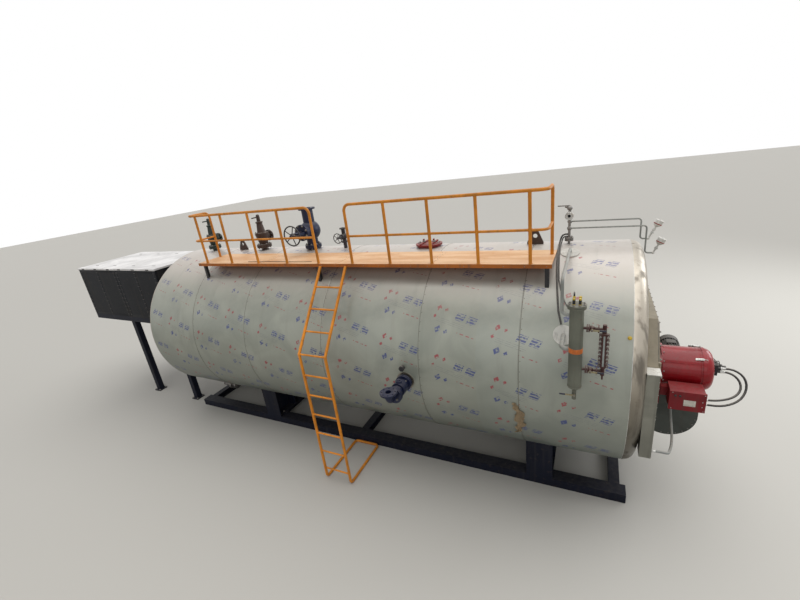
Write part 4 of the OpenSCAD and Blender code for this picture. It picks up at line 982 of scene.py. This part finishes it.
# The gas valve stands out of the far side of the burner's housing. It is a round bright body with two square
# flanges, and four bolts go through the inner one.
dress(zinc, "gas_valve")
GAS_X, GAS_Z = BURNER_X + 0.465, BURNER_Z + 0.06
gas_bolts = [((GAS_X + x, BURNER_R + 0.03, GAS_Z + z), FAR) for x in (-0.055, 0.055) for z in (-0.055, 0.055)]
repeat("gas_valve_bolts", bolt_8, gas_bolts, bolt_steel, "bright_fitting")

# The level column is an olive grey standpipe fed by two pipes from the shell. Its head flange carries four
# electrodes in black and yellow caps, and a band of orange tape is wound round the column.
olive = finish(
    "column_olive", (0.135, 0.14, 0.11), (0.17, 0.10, 0.06),
    rough=0.4, dust=0.3, chips=0.25, runs=0.3, size=1.6)
pipe_paint = finish(
    "pipe_grey", (0.30, 0.31, 0.29), (0.22, 0.13, 0.08), rough=0.45, dust=0.4, chips=0.3, runs=0.3, size=2.0)
white_paint = finish(
    "rosette_white", (0.68, 0.67, 0.62), (0.40, 0.36, 0.30), rough=0.4, dust=0.5, chips=0.1, size=2.0)
tape_orange = finish("orange_tape", (0.62, 0.16, 0.03), (0.30, 0.12, 0.05), rough=0.35, dust=0.2, size=6.0)
cap_yellow = finish("cap_yellow", (0.66, 0.46, 0.04), (0.30, 0.20, 0.05), rough=0.35, dust=0.3, size=6.0)
dress(olive, "level_column")
dress(pipe_paint, "level_pipes", "sensing_pipes")
dress(white_paint, "pipe_rosettes")
dress(rubber, "level_cables")
COLUMN_X, COLUMN_Y, COLUMN_Z = 3.6, -1.64, 2.23
HEAD_Z = COLUMN_Z + 0.976
HEAD = (COLUMN_X, COLUMN_Y, HEAD_Z)
bolt_circle("column_head_bolts", bolt_12, "bright_fitting", HEAD, UP, 0.076, 8)
electrodes = [place for place, _ in on_circle(HEAD, UP, 0.042, 4)]


@piece(tape_orange, "cover_red", smooth=40)
def column_tape(bm):
    rows = [(0.0705, -0.03), (0.0716, -0.029), (0.0716, 0.024), (0.0705, 0.025)]
    add_lathe(bm, rows, (COLUMN_X, COLUMN_Y, COLUMN_Z + 0.46), sides=48)


@piece(cap_yellow, "bright_fitting")
def electrode_caps(bm):
    cap = [(0.0132, 0.058), (0.0138, 0.060), (0.0138, 0.074), (0.0132, 0.0755), (0, 0.0755)]
    for place in electrodes:
        add_lathe(bm, [(0.0145, 0.0), (0.0145, 0.012), (0.0132, 0.014)], place, sides=6)
        add_lathe(bm, cap, place, sides=20)


@piece(rubber, "black_rubber")
def electrode_sleeves(bm):
    for place in electrodes:
        add_lathe(bm, [(0.0131, 0.012), (0.0135, 0.016), (0.0135, 0.056), (0.0131, 0.058)], place, sides=20)


@piece(olive, "column_green")
def column_welds(bm):
    for z in (COLUMN_Z + 0.012, HEAD_Z - 0.043):
        points = [(COLUMN_X + x, COLUMN_Y + y, z) for x, y in circle(40, 0.071)]
        add_tube(bm, points, 0.004, 6, ripple=0.25, closed=True)


ROSETTE_X, ROSETTES_Y = 3.457, (-0.351, -1.3105)
rosette_screws = []
for y in ROSETTES_Y:
    for along, off in circle(6, 0.1, 0.5):
        point = on_shell(ROSETTE_X + along, asin(-y / SHELL_R) + off / SHELL_R)
        rosette_screws.append((point, Vector((0, point.y, point.z - AXIS_Z)).normalized()))
repeat("rosette_screws", screw_stamp, rosette_screws, zinc, "bright_fitting")

# The water gauge beside the column is a flat brown casting with a long glass strip under eight bolted clamps.
# Brown cocks hold it at both ends, and steel levers with dipped grips turn them and the column's drain cock.
gauge_brown = finish(
    "gauge_brown", (0.06, 0.02, 0.018), (0.04, 0.025, 0.02),
    rough=0.4, dust=0.25, chips=0.3, size=3.0, bump=0.4)
glass = finish(
    "gauge_glass", (0.30, 0.33, 0.32), (0.12, 0.13, 0.13), rough=0.12, dust=0.3, size=6.0, coat=0.6)
dress(gauge_brown, "level_gauge")
GAUGE_X, GAUGE_FRONT = 3.865, COLUMN_Y - 0.028
GLASS_Z, GLASS_H, CLAMPS = 2.505, 0.395, 8
clamps = [(GAUGE_X + off, GLASS_Z + GLASS_H * (k + 0.5) / CLAMPS)
          for k in range(CLAMPS) for off in (-0.036, 0.036)]


@piece(glass, "gauge_brown")
def gauge_glass(bm):
    add_block(bm, (GAUGE_X, GAUGE_FRONT - 0.001, GLASS_Z + GLASS_H / 2), (0.017, 0.006, 0.35))


@piece(gauge_brown, "gauge_brown")
def gauge_clamp_ends(bm):
    for x, z in clamps:
        add_block(bm, (x, GAUGE_FRONT + 0.026, z), (0.024, 0.046, 0.019), bevel=0.003)


clamp_bolts = [((x, GAUGE_FRONT + 0.003, z), NEAR) for x, z in clamps]
repeat("gauge_clamp_bolts", bolt_8, clamp_bolts, bolt_steel, "gauge_brown")
lever_steel = finish(
    "lever_steel", (0.30, 0.26, 0.16), (0.16, 0.12, 0.08), rough=0.32, dust=0.2, metal=0.8, size=6.0)
lever_grip = finish("lever_grip", (0.03, 0.035, 0.06), (0.06, 0.06, 0.08), rough=0.4, dust=0.3, size=5.0)
dress(lever_steel, "upper_cock_lever", "lower_cock_lever", "drain_lever")


def moved(at, x=0.0, y=0.0, z=0.0):
    return Vector(at) + Vector((x, y, z))


COCKS_X, COCKS_Y = 3.7475, COLUMN_Y - 0.052
LEVERS = (
    ("upper_cock", (COCKS_X, COCKS_Y, 2.945), 0.130),
    ("lower_cock", (COCKS_X, COCKS_Y, 2.460), 0.130),
    ("drain_cock", (COLUMN_X, COLUMN_Y - 0.044, 2.140), -0.150))
for name, pivot, reach in LEVERS:
    @piece(lever_grip, "lever_steel", name, name + "_grip")
    def dipped_grip(bm):
        """The dipped grip at a lever's end."""
        place = moved(pivot, reach - copysign(0.030, reach))
        add_block(bm, place, (0.062, 0.0105, 0.0185), bevel=0.004)

    @piece(bolt_steel, "lever_steel", name, name + "_nut")
    def pivot_nut(bm):
        """The nut and washer that hold a lever on its cock's square."""
        rows = [(0.012, 0.003), (0.012, 0.006), (0.009, 0.006), (0.009, 0.012), (0.0075, 0.013), (0, 0.013)]
        add_lathe(bm, rows, pivot, NEAR, 6)

# A line of fittings stands on the crown. The steam valve is a navy globe valve with its black handwheel
# towards the viewer: hexagon nuts on every flange, a gland with two studs, and a nut that holds the wheel.
navy = finish(
    "valve_navy", (0.010, 0.015, 0.046), (0.04, 0.035, 0.04),
    rough=0.36, dust=0.10, chips=0.2, runs=0.2, size=2.0, bump=0.3)
brown = finish(
    "valve_brown", (0.055, 0.032, 0.024), (0.10, 0.045, 0.03),
    rough=0.45, dust=0.18, chips=0.3, runs=0.3, size=2.0, bump=0.3)
wheel_black = finish(
    "wheel_black", (0.03, 0.03, 0.035), (0.10, 0.07, 0.05),
    rough=0.4, dust=0.35, chips=0.3, size=4.0, bump=0.3)
dress(navy, "steam_valve")
dress(wheel_black, "steam_handwheel", "vent_handwheel")
CROWN = 3.452
STEAM = Vector((-0.95, 0, 3.794))
VENT = Vector((-0.24, 0, 3.662))
steam_nuts = []
for off, aim in (((0, 0, -0.260), UP), ((0, 0, -0.315), DOWN), ((0, -0.265, 0), NEAR)):
    steam_nuts += on_circle(moved(STEAM, *off), aim, 0.125, 8)
repeat("steam_valve_nuts", bolt_20, steam_nuts, bolt_steel, "blue_valve")


@piece(brown, "blue_valve")
def steam_gland(bm):
    """The gland's flange on two studs inside the yoke, and the yoke's bushing nut."""
    at = moved(STEAM, y=-0.30)
    stud = [(0.009, 0), (0.009, 0.012), (0.005, 0.014), (0.005, 0.026), (0, 0.027)]
    bushing = [(0.03, 0.0), (0.03, 0.016), (0.026, 0.02), (0.0165, 0.02)]
    add_lathe(bm, [(0.034, 0), (0.034, 0.012), (0.024, 0.016), (0.024, 0.03), (0.0165, 0.031)], at, NEAR, 24)
    for side in (-1, 1):
        add_block(bm, moved(at, side * 0.036, -0.006), (0.036, 0.012, 0.026), bevel=0.005)
        add_lathe(bm, stud, moved(at, side * 0.044, -0.012), NEAR, 6)
    add_lathe(bm, bushing, moved(STEAM, y=-0.446), NEAR, 6)


@piece(zinc, "bright_fitting")
def stem_thread(bm):
    """The stem's thread shows as fine rings between the yoke and the wheel."""
    for k in range(11):
        add_ring(bm, 0.0158, 0.0014, moved(STEAM, y=-0.470 - 0.0035 * k), NEAR, 20, 5)


for wheel, radius, stem in (("steam", 0.017, STEAM), ("vent", 0.010, VENT)):
    @piece(bolt_steel, "wheel_black", wheel + "_wheel", wheel + "_wheel_nut")
    def wheel_nut(bm):
        """The nut and washer that hold a handwheel on its stem."""
        ahead = stem.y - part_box(wheel + "_handwheel")[0][1] - 0.005
        rows = ((1.25, -0.003), (1.25, 0.003), (1, 0.003), (1, 0.014),
                (0.8, 0.017), (0.4, 0.017), (0.4, 0.022), (0, 0.023))
        add_lathe(bm, [(radius * share, height) for share, height in rows], moved(stem, y=-ahead), NEAR, 6)

# The safety valves are spring loaded, each with a flanged outlet towards the back and a lifting lever on a
# forked cap. One is nearly black green, the other a dusty brown casting.
dark_green = finish(
    "valve_dark_green", (0.018, 0.03, 0.024), (0.06, 0.045, 0.03),
    rough=0.36, dust=0.22, chips=0.2, size=2.0, bump=0.3)
SAFETY_VALVES = (
    (1, dark_green, "green_valve", -3.6, 0.20, 0.68),
    (2, brown, "brown_valve", -2.17, 0.23, 0.69))
for number, paint, slot, x, flange, top in SAFETY_VALVES:
    dress(paint, "safety_valve_%d" % number)
    base = Vector((x, 0, CROWN))
    nuts = on_circle(moved(base, z=0.109), UP, 0.51 * flange, 8)
    nuts += on_circle(moved(base, z=0.051), DOWN, 0.51 * flange, 8)
    repeat("safety_nuts_%d" % number, bolt_16, nuts, bolt_steel, slot)
    outlet = moved(base, y=0.75 * flange, z=0.36 * top)
    bolt_circle("outlet_bolts_%d" % number, bolt_12, slot, outlet, NEAR, 0.39 * flange, 8)

    @piece(paint, slot, name="safety_cap_%d" % number)
    def safety_cap(bm):
        """The bonnet's studs, the seal wire's loop and the set screw's locking ring."""
        stud = [(0.011, 0), (0.011, 0.012), (0.006, 0.014), (0.006, 0.024), (0, 0.025)]
        for place, _ in on_circle(moved(base, z=0.36 * top + 0.087), UP, 0.48 * flange, 6):
            add_lathe(bm, stud, place, sides=6)
        add_ring(bm, 0.15 * flange, 0.004, moved(base, z=top - 0.06), UP, 32, 6)
        add_ring(bm, 0.145 * flange, 0.003, moved(base, z=top - 0.085), UP, 32, 6)

# A small vent valve in black stands beside them, then the oval manhole: a dark red cover under two bridges,
# each drawn up by a stud and nut, on a dark rubber joint.
cast_red = finish(
    "cover_red", (0.20, 0.018, 0.018), (0.10, 0.04, 0.025),
    rough=0.45, dust=0.22, chips=0.3, size=2.0, bump=0.4)
dress(wheel_black, "vent_valve")
dress(cast_red, "manhole_cover")
bolt_circle("vent_flange_nuts", bolt_8, "blue_valve", moved(VENT, z=-0.105), UP, 0.042, 4)
MANHOLE = Vector((1.36, 0, CROWN))


@piece(rubber, "cover_red")
def manhole_joint(bm):
    """The joint under the cover and the seam of the cover's raised middle, both oval."""
    for length, width, z, radius in ((0.40, 0.30, 0.0245, 0.005), (0.30, 0.20, 0.050, 0.0045)):
        half = (length - width) / 2
        oval = [moved(MANHOLE, copysign(half, x) + x, y, z) for x, y in circle(48, width / 2)]
        add_tube(bm, oval, radius, 6, closed=True)


@piece(bolt_steel, "cover_red")
def manhole_nuts(bm):
    """A washer and nut low on each stud, under the stud's plain end, and the ears that lift the cover."""
    nut = [(0.0245, 0.004), (0.0245, 0.020), (0.021, 0.024), (0.0155, 0.024)]
    for x in (-0.085, 0.085):
        at = moved(MANHOLE, x, z=0.072)
        add_lathe(bm, [(0.026, -0.0005), (0.026, 0.004), (0.0155, 0.004)], at, sides=20)
        add_lathe(bm, nut, at, sides=6)
    for x in (-0.165, 0.165):
        ear = ((-0.035, 0.048), (-0.03, 0.07), (0.03, 0.07), (0.035, 0.048))
        add_tube(bm, bend_through([moved(MANHOLE, x, y, z) for y, z in ear], 5), 0.006, 8)


# Steel ears for lifting are welded to the crown, one near each end of the deck, with a bead of weld along
# both sides of each.
dress(brown, "lifting_lugs")
LUGS_X = (-2.75, 2.98)


@piece(brown, "pipe_grey")
def lug_welds(bm):
    across = [-0.07 + 0.14 * k / 24 for k in range(25)]
    for x in LUGS_X:
        for side in (-0.0125, 0.0125):
            points = [(x + side, y, AXIS_Z + sqrt(SHELL_R ** 2 - y * y) + 0.001) for y in across]
            add_tube(bm, points, 0.005, 6, ripple=0.25)


# The pressure standpipe carries a gauge with a plain numberless dial, a cock and two thin pipes along the
# crown. At their ends stand the sensors: pale heads with a red band, screwed on short necks.
head_paint = finish(
    "sensor_head", (0.62, 0.61, 0.57), (0.36, 0.33, 0.28),
    rough=0.32, dust=0.4, chips=0.1, metal=0.3, size=3.0)
sensor_red = finish("sensor_band", (0.30, 0.05, 0.03), (0.14, 0.06, 0.04), rough=0.35, dust=0.3, size=6.0)
dress(bolt_steel, "pressure_fittings")
dress(head_paint, "pressure_sensors")
DIAL = Vector((3.42, -0.102, CROWN + 0.390))


@piece(zinc, "bright_fitting", smooth=35)
def dial_bezel(bm):
    rim = [(0.0523, 0.012), (0.0535, 0.010), (0.0535, -0.006),
           (0.0505, -0.008), (0.047, -0.006), (0.046, -0.001)]
    add_lathe(bm, rim, DIAL, FAR, 48)


@piece(white_paint, "bright_fitting", smooth=35)
def dial_face(bm):
    add_lathe(bm, [(0.0465, 0.0), (0.0462, 0.0008), (0.02, 0.001), (0, 0.001)], DIAL, NEAR, 48)


@piece(cast_black, "black_casting")
def dial_marks(bm):
    """Plain strokes round the dial and a black hand on its boss."""
    strokes = []
    for k in range(31):
        length, width = (0.008, 0.0018) if k % 5 == 0 else (0.004, 0.0009)
        strokes.append((225 - 270 * k / 30, 0.040 - length / 2, 0.0012, (length, 0.0008, width)))
    strokes.append((150, 0.012, 0.0022, (0.046, 0.001, 0.0026)))
    for degrees, out, lift, size in strokes:
        turn = radians(degrees)
        at = moved(DIAL, cos(turn) * out, -lift, sin(turn) * out)
        add_block(bm, at, size, Matrix.Rotation(-turn, 4, "Y"), 0)
    add_lathe(bm, [(0.005, 0), (0.005, 0.003), (0.003, 0.004), (0, 0.004)], DIAL, NEAR, 16)


bolt_circle("standpipe_nuts", bolt_12, "fitting_dark", (3.42, 0, CROWN + 0.087), UP, 0.042, 4)
LEAN = radians(26)
SENSOR_AXIS = Vector((sin(LEAN), 0, cos(LEAN)))
SENSORS = ((Vector((4.405, 0, 3.312)), 0.12), (Vector((4.345, 0.06, 3.484)), 0.17))


@piece(sensor_red, "cover_red", smooth=35)
def sensor_bands(bm):
    for foot, neck in SENSORS:
        rows = [(0.0482, 0.0), (0.0492, 0.001), (0.0492, 0.011), (0.0482, 0.012)]
        add_lathe(bm, rows, foot + SENSOR_AXIS * (neck + 0.028), SENSOR_AXIS, 40)


@piece(zinc, "bright_fitting")
def sensor_nuts(bm):
    tip = [(0.013, 0.0), (0.013, 0.006), (0.009, 0.008), (0, 0.008)]
    for foot, neck in SENSORS:
        place = foot + SENSOR_AXIS * (neck * 0.45)
        add_lathe(bm, [(0.021, 0), (0.021, 0.02), (0.017, 0.023)], place, SENSOR_AXIS, 6)
        add_lathe(bm, tip, foot + SENSOR_AXIS * (neck + 0.082), SENSOR_AXIS, 6)


# Feed water comes in at the front through a stop valve and a check valve in line, bolted flange to flange; a
# rolled collar covers the hole in the cladding. A thermometer pocket is close above.
dress(navy, "feed_valve")
dress(end_steel, "feed_collar")
dress(cast_black, "thermometer_pocket")
FEED = Vector((1.43, -1.505, 1.89))
feed_nuts = []
for distance, way in ((0.041, FAR), (0.090, NEAR), (0.346, FAR), (0.395, NEAR)):
    feed_nuts += on_circle(moved(FEED, y=-distance), way, 0.068, 4)
repeat("feed_flange_nuts", bolt_16, feed_nuts, bolt_steel, "blue_valve")


@piece(navy, "blue_valve")
def feed_bonnet_parts(bm):
    """The bonnet's screws and cap on the check valve."""
    top = moved(FEED, y=-0.205, z=0.119)
    add_lathe(bm, [(0.024, 0), (0.024, 0.016), (0.019, 0.019), (0, 0.019)], top, sides=6)
    for place, _ in on_circle(top, UP, 0.034, 4):
        add_lathe(bm, [(0.007, 0), (0.007, 0.006), (0.004, 0.008), (0, 0.008)], place, sides=6)


yellow_knob = finish("yellow_cap", (0.62, 0.42, 0.03), (0.30, 0.20, 0.05), rough=0.35, dust=0.3, size=6.0)


@piece(yellow_knob, "bright_fitting")
def small_yellow_cap(bm):
    at = on_shell(4.12, asin(1.30 / SHELL_R), -0.002)
    rows = [(0.022, 0), (0.022, 0.006), (0.017, 0.008), (0.017, 0.02), (0.013, 0.024), (0, 0.024)]
    add_lathe(bm, rows, at, Vector((0, at.y, at.z - AXIS_Z)), 20)


# The deck along the crown is pressed plate in orange paint with tan dust on its top, which is also painted
# lighter than the darker front flange for the light that falls on it. Boots have worn it, and its plates meet
# at butt straps; brackets and screws hold it to the cladding.
black_paint = finish(
    "black_paint", (0.03, 0.03, 0.032), (0.12, 0.07, 0.04), rough=0.5, dust=0.5, chips=0.3, size=3.0)
dress(black_paint, "deck_posts")


def deck_material():
    """The deck's paint: on faces that look up, tan dust where boots and rain leave it, painted lighter too
    for the light that falls there; orange on the flange; a fine tread.
    """
    material = finish(
        "deck_paint", (0.40, 0.115, 0.015), (0.24, 0.12, 0.05),
        rough=0.5, dust=0.0, chips=0.3, runs=0.45, size=1.4)
    net = Net(material.node_tree)
    shader = net.tree.nodes["Principled BSDF"].inputs
    painted = shader["Base Color"].links[0].from_socket
    relief = shader["Normal"].links[0].from_socket
    place = net.place()
    wear = net.node("Group", node_tree=wear_group).outputs
    upward = net.split(net.node("NewGeometry").outputs["Normal"])[2]
    # The tan top colours are partly dust and partly painted light: they are lighter than the paint because
    # light falls on the top.
    worn = net.ramp(net.noise(net.stretch(place, (0.6, 2.2, 1.0)), 2.4, 6.0), 0.38, 0.66)
    dusty = net.mix(worn, (0.62, 0.34, 0.16, 1), (0.76, 0.49, 0.28, 1))
    dusty = net.mix(net.times(wear["Chips"], 0.3), dusty, (0.45, 0.24, 0.12, 1))
    tread = net.node("TexVoronoi", {"Vector": place, "Scale": 42.0}, distance="MANHATTAN").outputs["Distance"]
    net.fill(shader, {
        # Faces that look up get the light tan, dust and painted highlight together; the other faces keep the
        # orange paint.
        "Base Color": net.mix(net.ramp(upward, 0.5, 0.9), painted, dusty),
        "Normal": net.bump(tread, 0.12, 0.002, {"Normal": relief})})
    return material


deck_paint = deck_material()
dress(deck_paint, "deck_plate")
deck_low, deck_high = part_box("deck_plate")
DECK_TOP, DECK_EDGE = deck_high[2], deck_low[1]
DECK_L, DECK_W = deck_high[0] - deck_low[0], deck_high[1] - deck_low[1]
strap_lines = [deck_low[0] + DECK_L * k / 4 for k in range(1, 4)]


@piece(deck_paint, "deck_orange")
def deck_straps(bm):
    middle_y = (deck_low[1] + deck_high[1]) / 2 - 0.01
    for x in strap_lines:
        add_block(bm, (x, middle_y, DECK_TOP + 0.0002), (0.07, DECK_W - 0.06, 0.003), bevel=0.001)
        add_block(bm, (x, DECK_EDGE - 0.0002, DECK_TOP - 0.029), (0.06, 0.003, 0.044), bevel=0.001)


SCREW_PITCH = 0.11
strap_screws = [
    ((x + off, DECK_EDGE + 0.05 + SCREW_PITCH * j, DECK_TOP + 0.0015), UP)
    for x in strap_lines for off in (-0.022, 0.022) for j in range(int((DECK_W - 0.1) / SCREW_PITCH) + 1)]
strap_screws += [((deck_low[0] + 0.06 + (DECK_L - 0.12) * k / 24, DECK_EDGE, DECK_TOP - 0.03), NEAR)
                 for k in range(25)]
repeat("deck_screws", screw_stamp, strap_screws, bolt_steel, "deck_orange")

# A loose steel rod was left lying along the deck's edge. It is round bar, rusty all over and a little bent,
# and it is fixed to nothing.
rust = finish("rusty_steel", (0.16, 0.08, 0.045), (0.26, 0.12, 0.06), rough=0.7, dust=0.4, size=3.0)


@piece(rust, "deck_orange")
def left_rod(bm):
    y, z = DECK_EDGE + 0.10, DECK_TOP + 0.0045
    route = [(-1.75, y, z), (-1.2, y + 0.012, z + 0.001), (-0.6, y - 0.004, z), (-0.35, y + 0.01, z)]
    add_tube(bm, bend_through(route), 0.005, 8, ripple=0.05)


# The guard is bent round tube in a worn orange: posts welded to the deck, a top rail and a lower rail. The
# ladder is brighter: two rails bent over the deck's edge, with round rungs. A weld marks each joint.
orange_rail = finish(
    "guard_orange", (0.60, 0.215, 0.018), (0.26, 0.12, 0.04),
    rough=0.42, dust=0.08, chips=0.4, runs=0.3, size=2.2)
orange_ladder = finish(
    "ladder_orange", (0.70, 0.245, 0.018), (0.30, 0.13, 0.04), rough=0.4, dust=0.06, chips=0.35, size=2.2)
dress(orange_rail, "guard_rails", "guard_posts")
dress(orange_ladder, "ladder_rails", "ladder_rungs")
POST_Y, POST_PITCH, MID_Z, TUBE_CLEAR = -0.945, 0.64, DECK_TOP + 0.412, 0.0215
LADDER_SIDES = (-0.12, 0.5)
post_line = [start + way * POST_PITCH * k for start, way in ((-0.147, -1), (0.485, 1)) for k in range(5)]
post_feet = [(x, POST_Y) for x in post_line] + [(-2.9, -0.49), (3.249, -0.49)]
post_welds = [(Vector((x, y, DECK_TOP + 0.001)), UP) for x, y in post_feet]
rail_welds = [(Vector((x + side * TUBE_CLEAR, POST_Y, MID_Z)), FORE) for x in post_line for side in (-1, 1)
              if not LADDER_SIDES[0] <= x + side * 0.03 <= LADDER_SIDES[1]]
LADDER_BEND = Vector((0, -1.859, 2.312))
LADDER_TOP = Vector((0, -0.992, 3.397))
RUNG_PITCH = 0.35
rungs_low, rungs_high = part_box("ladder_rungs")
ladder_way = (LADDER_TOP - LADDER_BEND).normalized()
rung_welds = []
for k in range(-3, 7):
    rise = ladder_way * (-k * RUNG_PITCH) if k < 0 else Vector((0, 0, -k * RUNG_PITCH))
    ends = (rungs_low[0] + 0.004, rungs_high[0] - 0.004)
    rung_welds += [(moved(LADDER_BEND + rise, x), FORE) for x in ends]
WELDS = (
    ("post_weld", TUBE_CLEAR, 0.004, post_welds, orange_rail),
    ("rail_weld", 0.0175, 0.003, rail_welds, orange_rail),
    ("rung_weld", 0.0145, 0.003, rung_welds, orange_ladder))
for name, radius, size, places, paint in WELDS:
    def weld_bead(bm):
        points = [(x, y, 0) for x, y in circle(24, radius)]
        add_tube(bm, points, size, 6, ripple=0.3, closed=True)

    repeat(name + "s", made_mesh(name, weld_bead), places, paint, "guard_orange")

# The economiser stands behind on its own frame: two dark slate boxes of sheet steel with screwed cover
# strips, pale lids with black grip handles, and a bolted round flue flange at its far end.
slate = finish(
    "slate_paint", (0.012, 0.013, 0.016), (0.06, 0.045, 0.035),
    rough=0.55, dust=0.05, chips=0.25, runs=0.25, size=1.2, gloss=0.15)
pale = finish(
    "pale_lid_paint", (0.78, 0.76, 0.745), (0.50, 0.44, 0.38),
    rough=0.5, dust=0.10, chips=0.12, runs=0.10, size=0.9)
dress(slate, "economiser_unit_1", "economiser_unit_2", "flue_link")
dress(pale, "economiser_lids")
UNIT_L, ECO_HALF, ECO_Z, ECO_H = 1.5, 0.8, 2.05, 1.165
ECO_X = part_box("economiser_unit_1")[1][0]
ECO_MIDDLE_Z = ECO_Z + ECO_H / 2
strip_places = [(k, t) for k in range(2) for t in (0.035, 0.5, 0.965)]


@piece(slate, "dark_economiser")
def economiser_strips(bm):
    """Flat strips screwed over the joints of each side's sheets."""
    for side in (-ECO_HALF, ECO_HALF):
        for k, t in strip_places:
            x = ECO_X - UNIT_L * (k + t) - (0.004 if k else 0)
            place = (x, side + copysign(0.0002, side), ECO_MIDDLE_Z)
            add_block(bm, place, (0.06, 0.003, ECO_H - 0.03), bevel=0.001)
        for k in range(2):
            for z in (ECO_Z + 0.035, ECO_Z + ECO_H - 0.04):
                place = (ECO_X - UNIT_L * (k + 0.5), side, z)
                add_block(bm, place, (UNIT_L - 0.17, 0.002, 0.05), bevel=0.0006)


strip_screws = [
    ((ECO_X - UNIT_L * (k + t) + off, side * (ECO_HALF + 0.0016), ECO_Z + 0.07 + 0.103 * j), (0, side, 0))
    for k, t in strip_places for off in (-0.018, 0.018) for side in (-1, 1) for j in range(11)]
repeat("economiser_screws", screw_stamp, strip_screws, bolt_steel, "dark_economiser")
LID_EDGE, LID_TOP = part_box("economiser_lids")[1][1:]


@piece(black_paint, "black_steel")
def lid_handles(bm):
    """Black bow handles on the lids, and the toggles that clamp each lid's edge."""
    bow = ((-0.06, -0.001), (-0.055, 0.0015), (0, 0.0022), (0.055, 0.0015), (0.06, -0.001))
    for k in range(2):
        for x in (ECO_X - UNIT_L * (k + t) for t in (0.25, 0.75)):
            for y in (-0.55, 0.55):
                route = [(x + along, y, LID_TOP + up) for along, up in bow]
                add_tube(bm, bend_through(route, 4), 0.004, 8)
        for x in (ECO_X - UNIT_L * (k + t) for t in (0.15, 0.5, 0.85)):
            for side in (-1, 1):
                place = (x, side * (LID_EDGE - 0.0005), LID_TOP - 0.018)
                add_block(bm, place, (0.11, 0.005, 0.022))


flue_at = (ECO_X - 2 * UNIT_L - 0.012, 0, ECO_MIDDLE_Z)
bolt_circle("flue_flange_bolts", bolt_12, "dark_economiser", flue_at, REAR, 0.345, 20)
link_low, link_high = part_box("flue_link")


@piece(slate, "dark_economiser")
def link_flanges(bm):
    """Angle frames where the short duct meets the boiler and the economiser."""
    _, y, z = [(a + b) / 2 for a, b in zip(link_low, link_high)]
    _, width, height = [b - a for a, b in zip(link_low, link_high)]
    for x in (link_low[0] + 0.007, link_high[0] - 0.007):
        for side in (-1, 1):
            add_block(bm, (x, y + side * width / 2, z), (0.010, 0.004, height), bevel=0.001)
            add_block(bm, (x, y, z + side * height / 2), (0.010, width, 0.004), bevel=0.001)


# The stand is welded square tube in navy on foot plates, each bolted down with four anchors; the skid is two
# channels with cross members, and the saddles' sole plates are bolted through their upper flanges.
navy_steel = finish(
    "navy_steel", (0.008, 0.010, 0.020), (0.07, 0.05, 0.04),
    rough=0.5, dust=0.05, chips=0.3, runs=0.2, size=1.2, gloss=0.15)
dress(navy_steel, "base_rails", "cross_members", "saddles", "economiser_stand")
SADDLES_X = (-2.09, 3.14)
CROSS_X = (-4.13, *SADDLES_X, 0, 4.13)
RAIL_INSIDE_Y, RAIL_WELD_Z = 0.7130, 0.136
anchors = [((x + dx, y + dy, 0.0195), UP) for x in (ECO_X - 0.06, ECO_X - UNIT_L) for y in (-0.74, 0.74)
           for dx in (-0.08, 0.08) for dy in (-0.08, 0.08)]
anchors += [((x + dx, side * y, 0.1545), UP) for x in SADDLES_X for dx in (-0.13, 0.13)
            for side in (-1, 1) for y in (0.76, 0.87)]
repeat("anchor_bolts", bolt_20, anchors, bolt_steel, "navy_steel")


@piece(navy_steel, "navy_steel")
def base_welds(bm):
    """Beads where cross members meet channels, saddle webs their sole plates, and legs their foot plates."""
    for side in (-1, 1):
        for x in CROSS_X:
            points = [(x - 0.07 + 0.14 * k / 20, side * RAIL_INSIDE_Y, RAIL_WELD_Z) for k in range(21)]
            add_tube(bm, points, 0.004, 6, ripple=0.3)
        for x in SADDLES_X:
            points = [(x + side * 0.0100, -0.89 + 1.78 * k / 120, 0.1555) for k in range(121)]
            add_tube(bm, points, 0.0045, 6, ripple=0.3)
    for x in (ECO_X - 0.12, ECO_X, ECO_X - UNIT_L - 0.06, ECO_X - UNIT_L + 0.06):
        for y in (-0.80, -0.68, 0.68, 0.80):
            add_tube(bm, [(x, y, 0.021), (x, y, 0.0225)], 0.005, 6)


dress(bolt_steel, "blowdown_valve")
blow_low, blow_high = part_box("blowdown_valve")


@piece(bolt_steel, "fitting_dark")
def blowdown_parts(bm):
    """The packing nut on the blowdown valve's top."""
    x, y, _ = [(a + b) / 2 for a, b in zip(blow_low, blow_high)]
    add_lathe(bm, [(0.02, -0.002), (0.02, 0.0), (0.016, 0.0015), (0, 0.0015)], (x, y, blow_high[2]), sides=6)
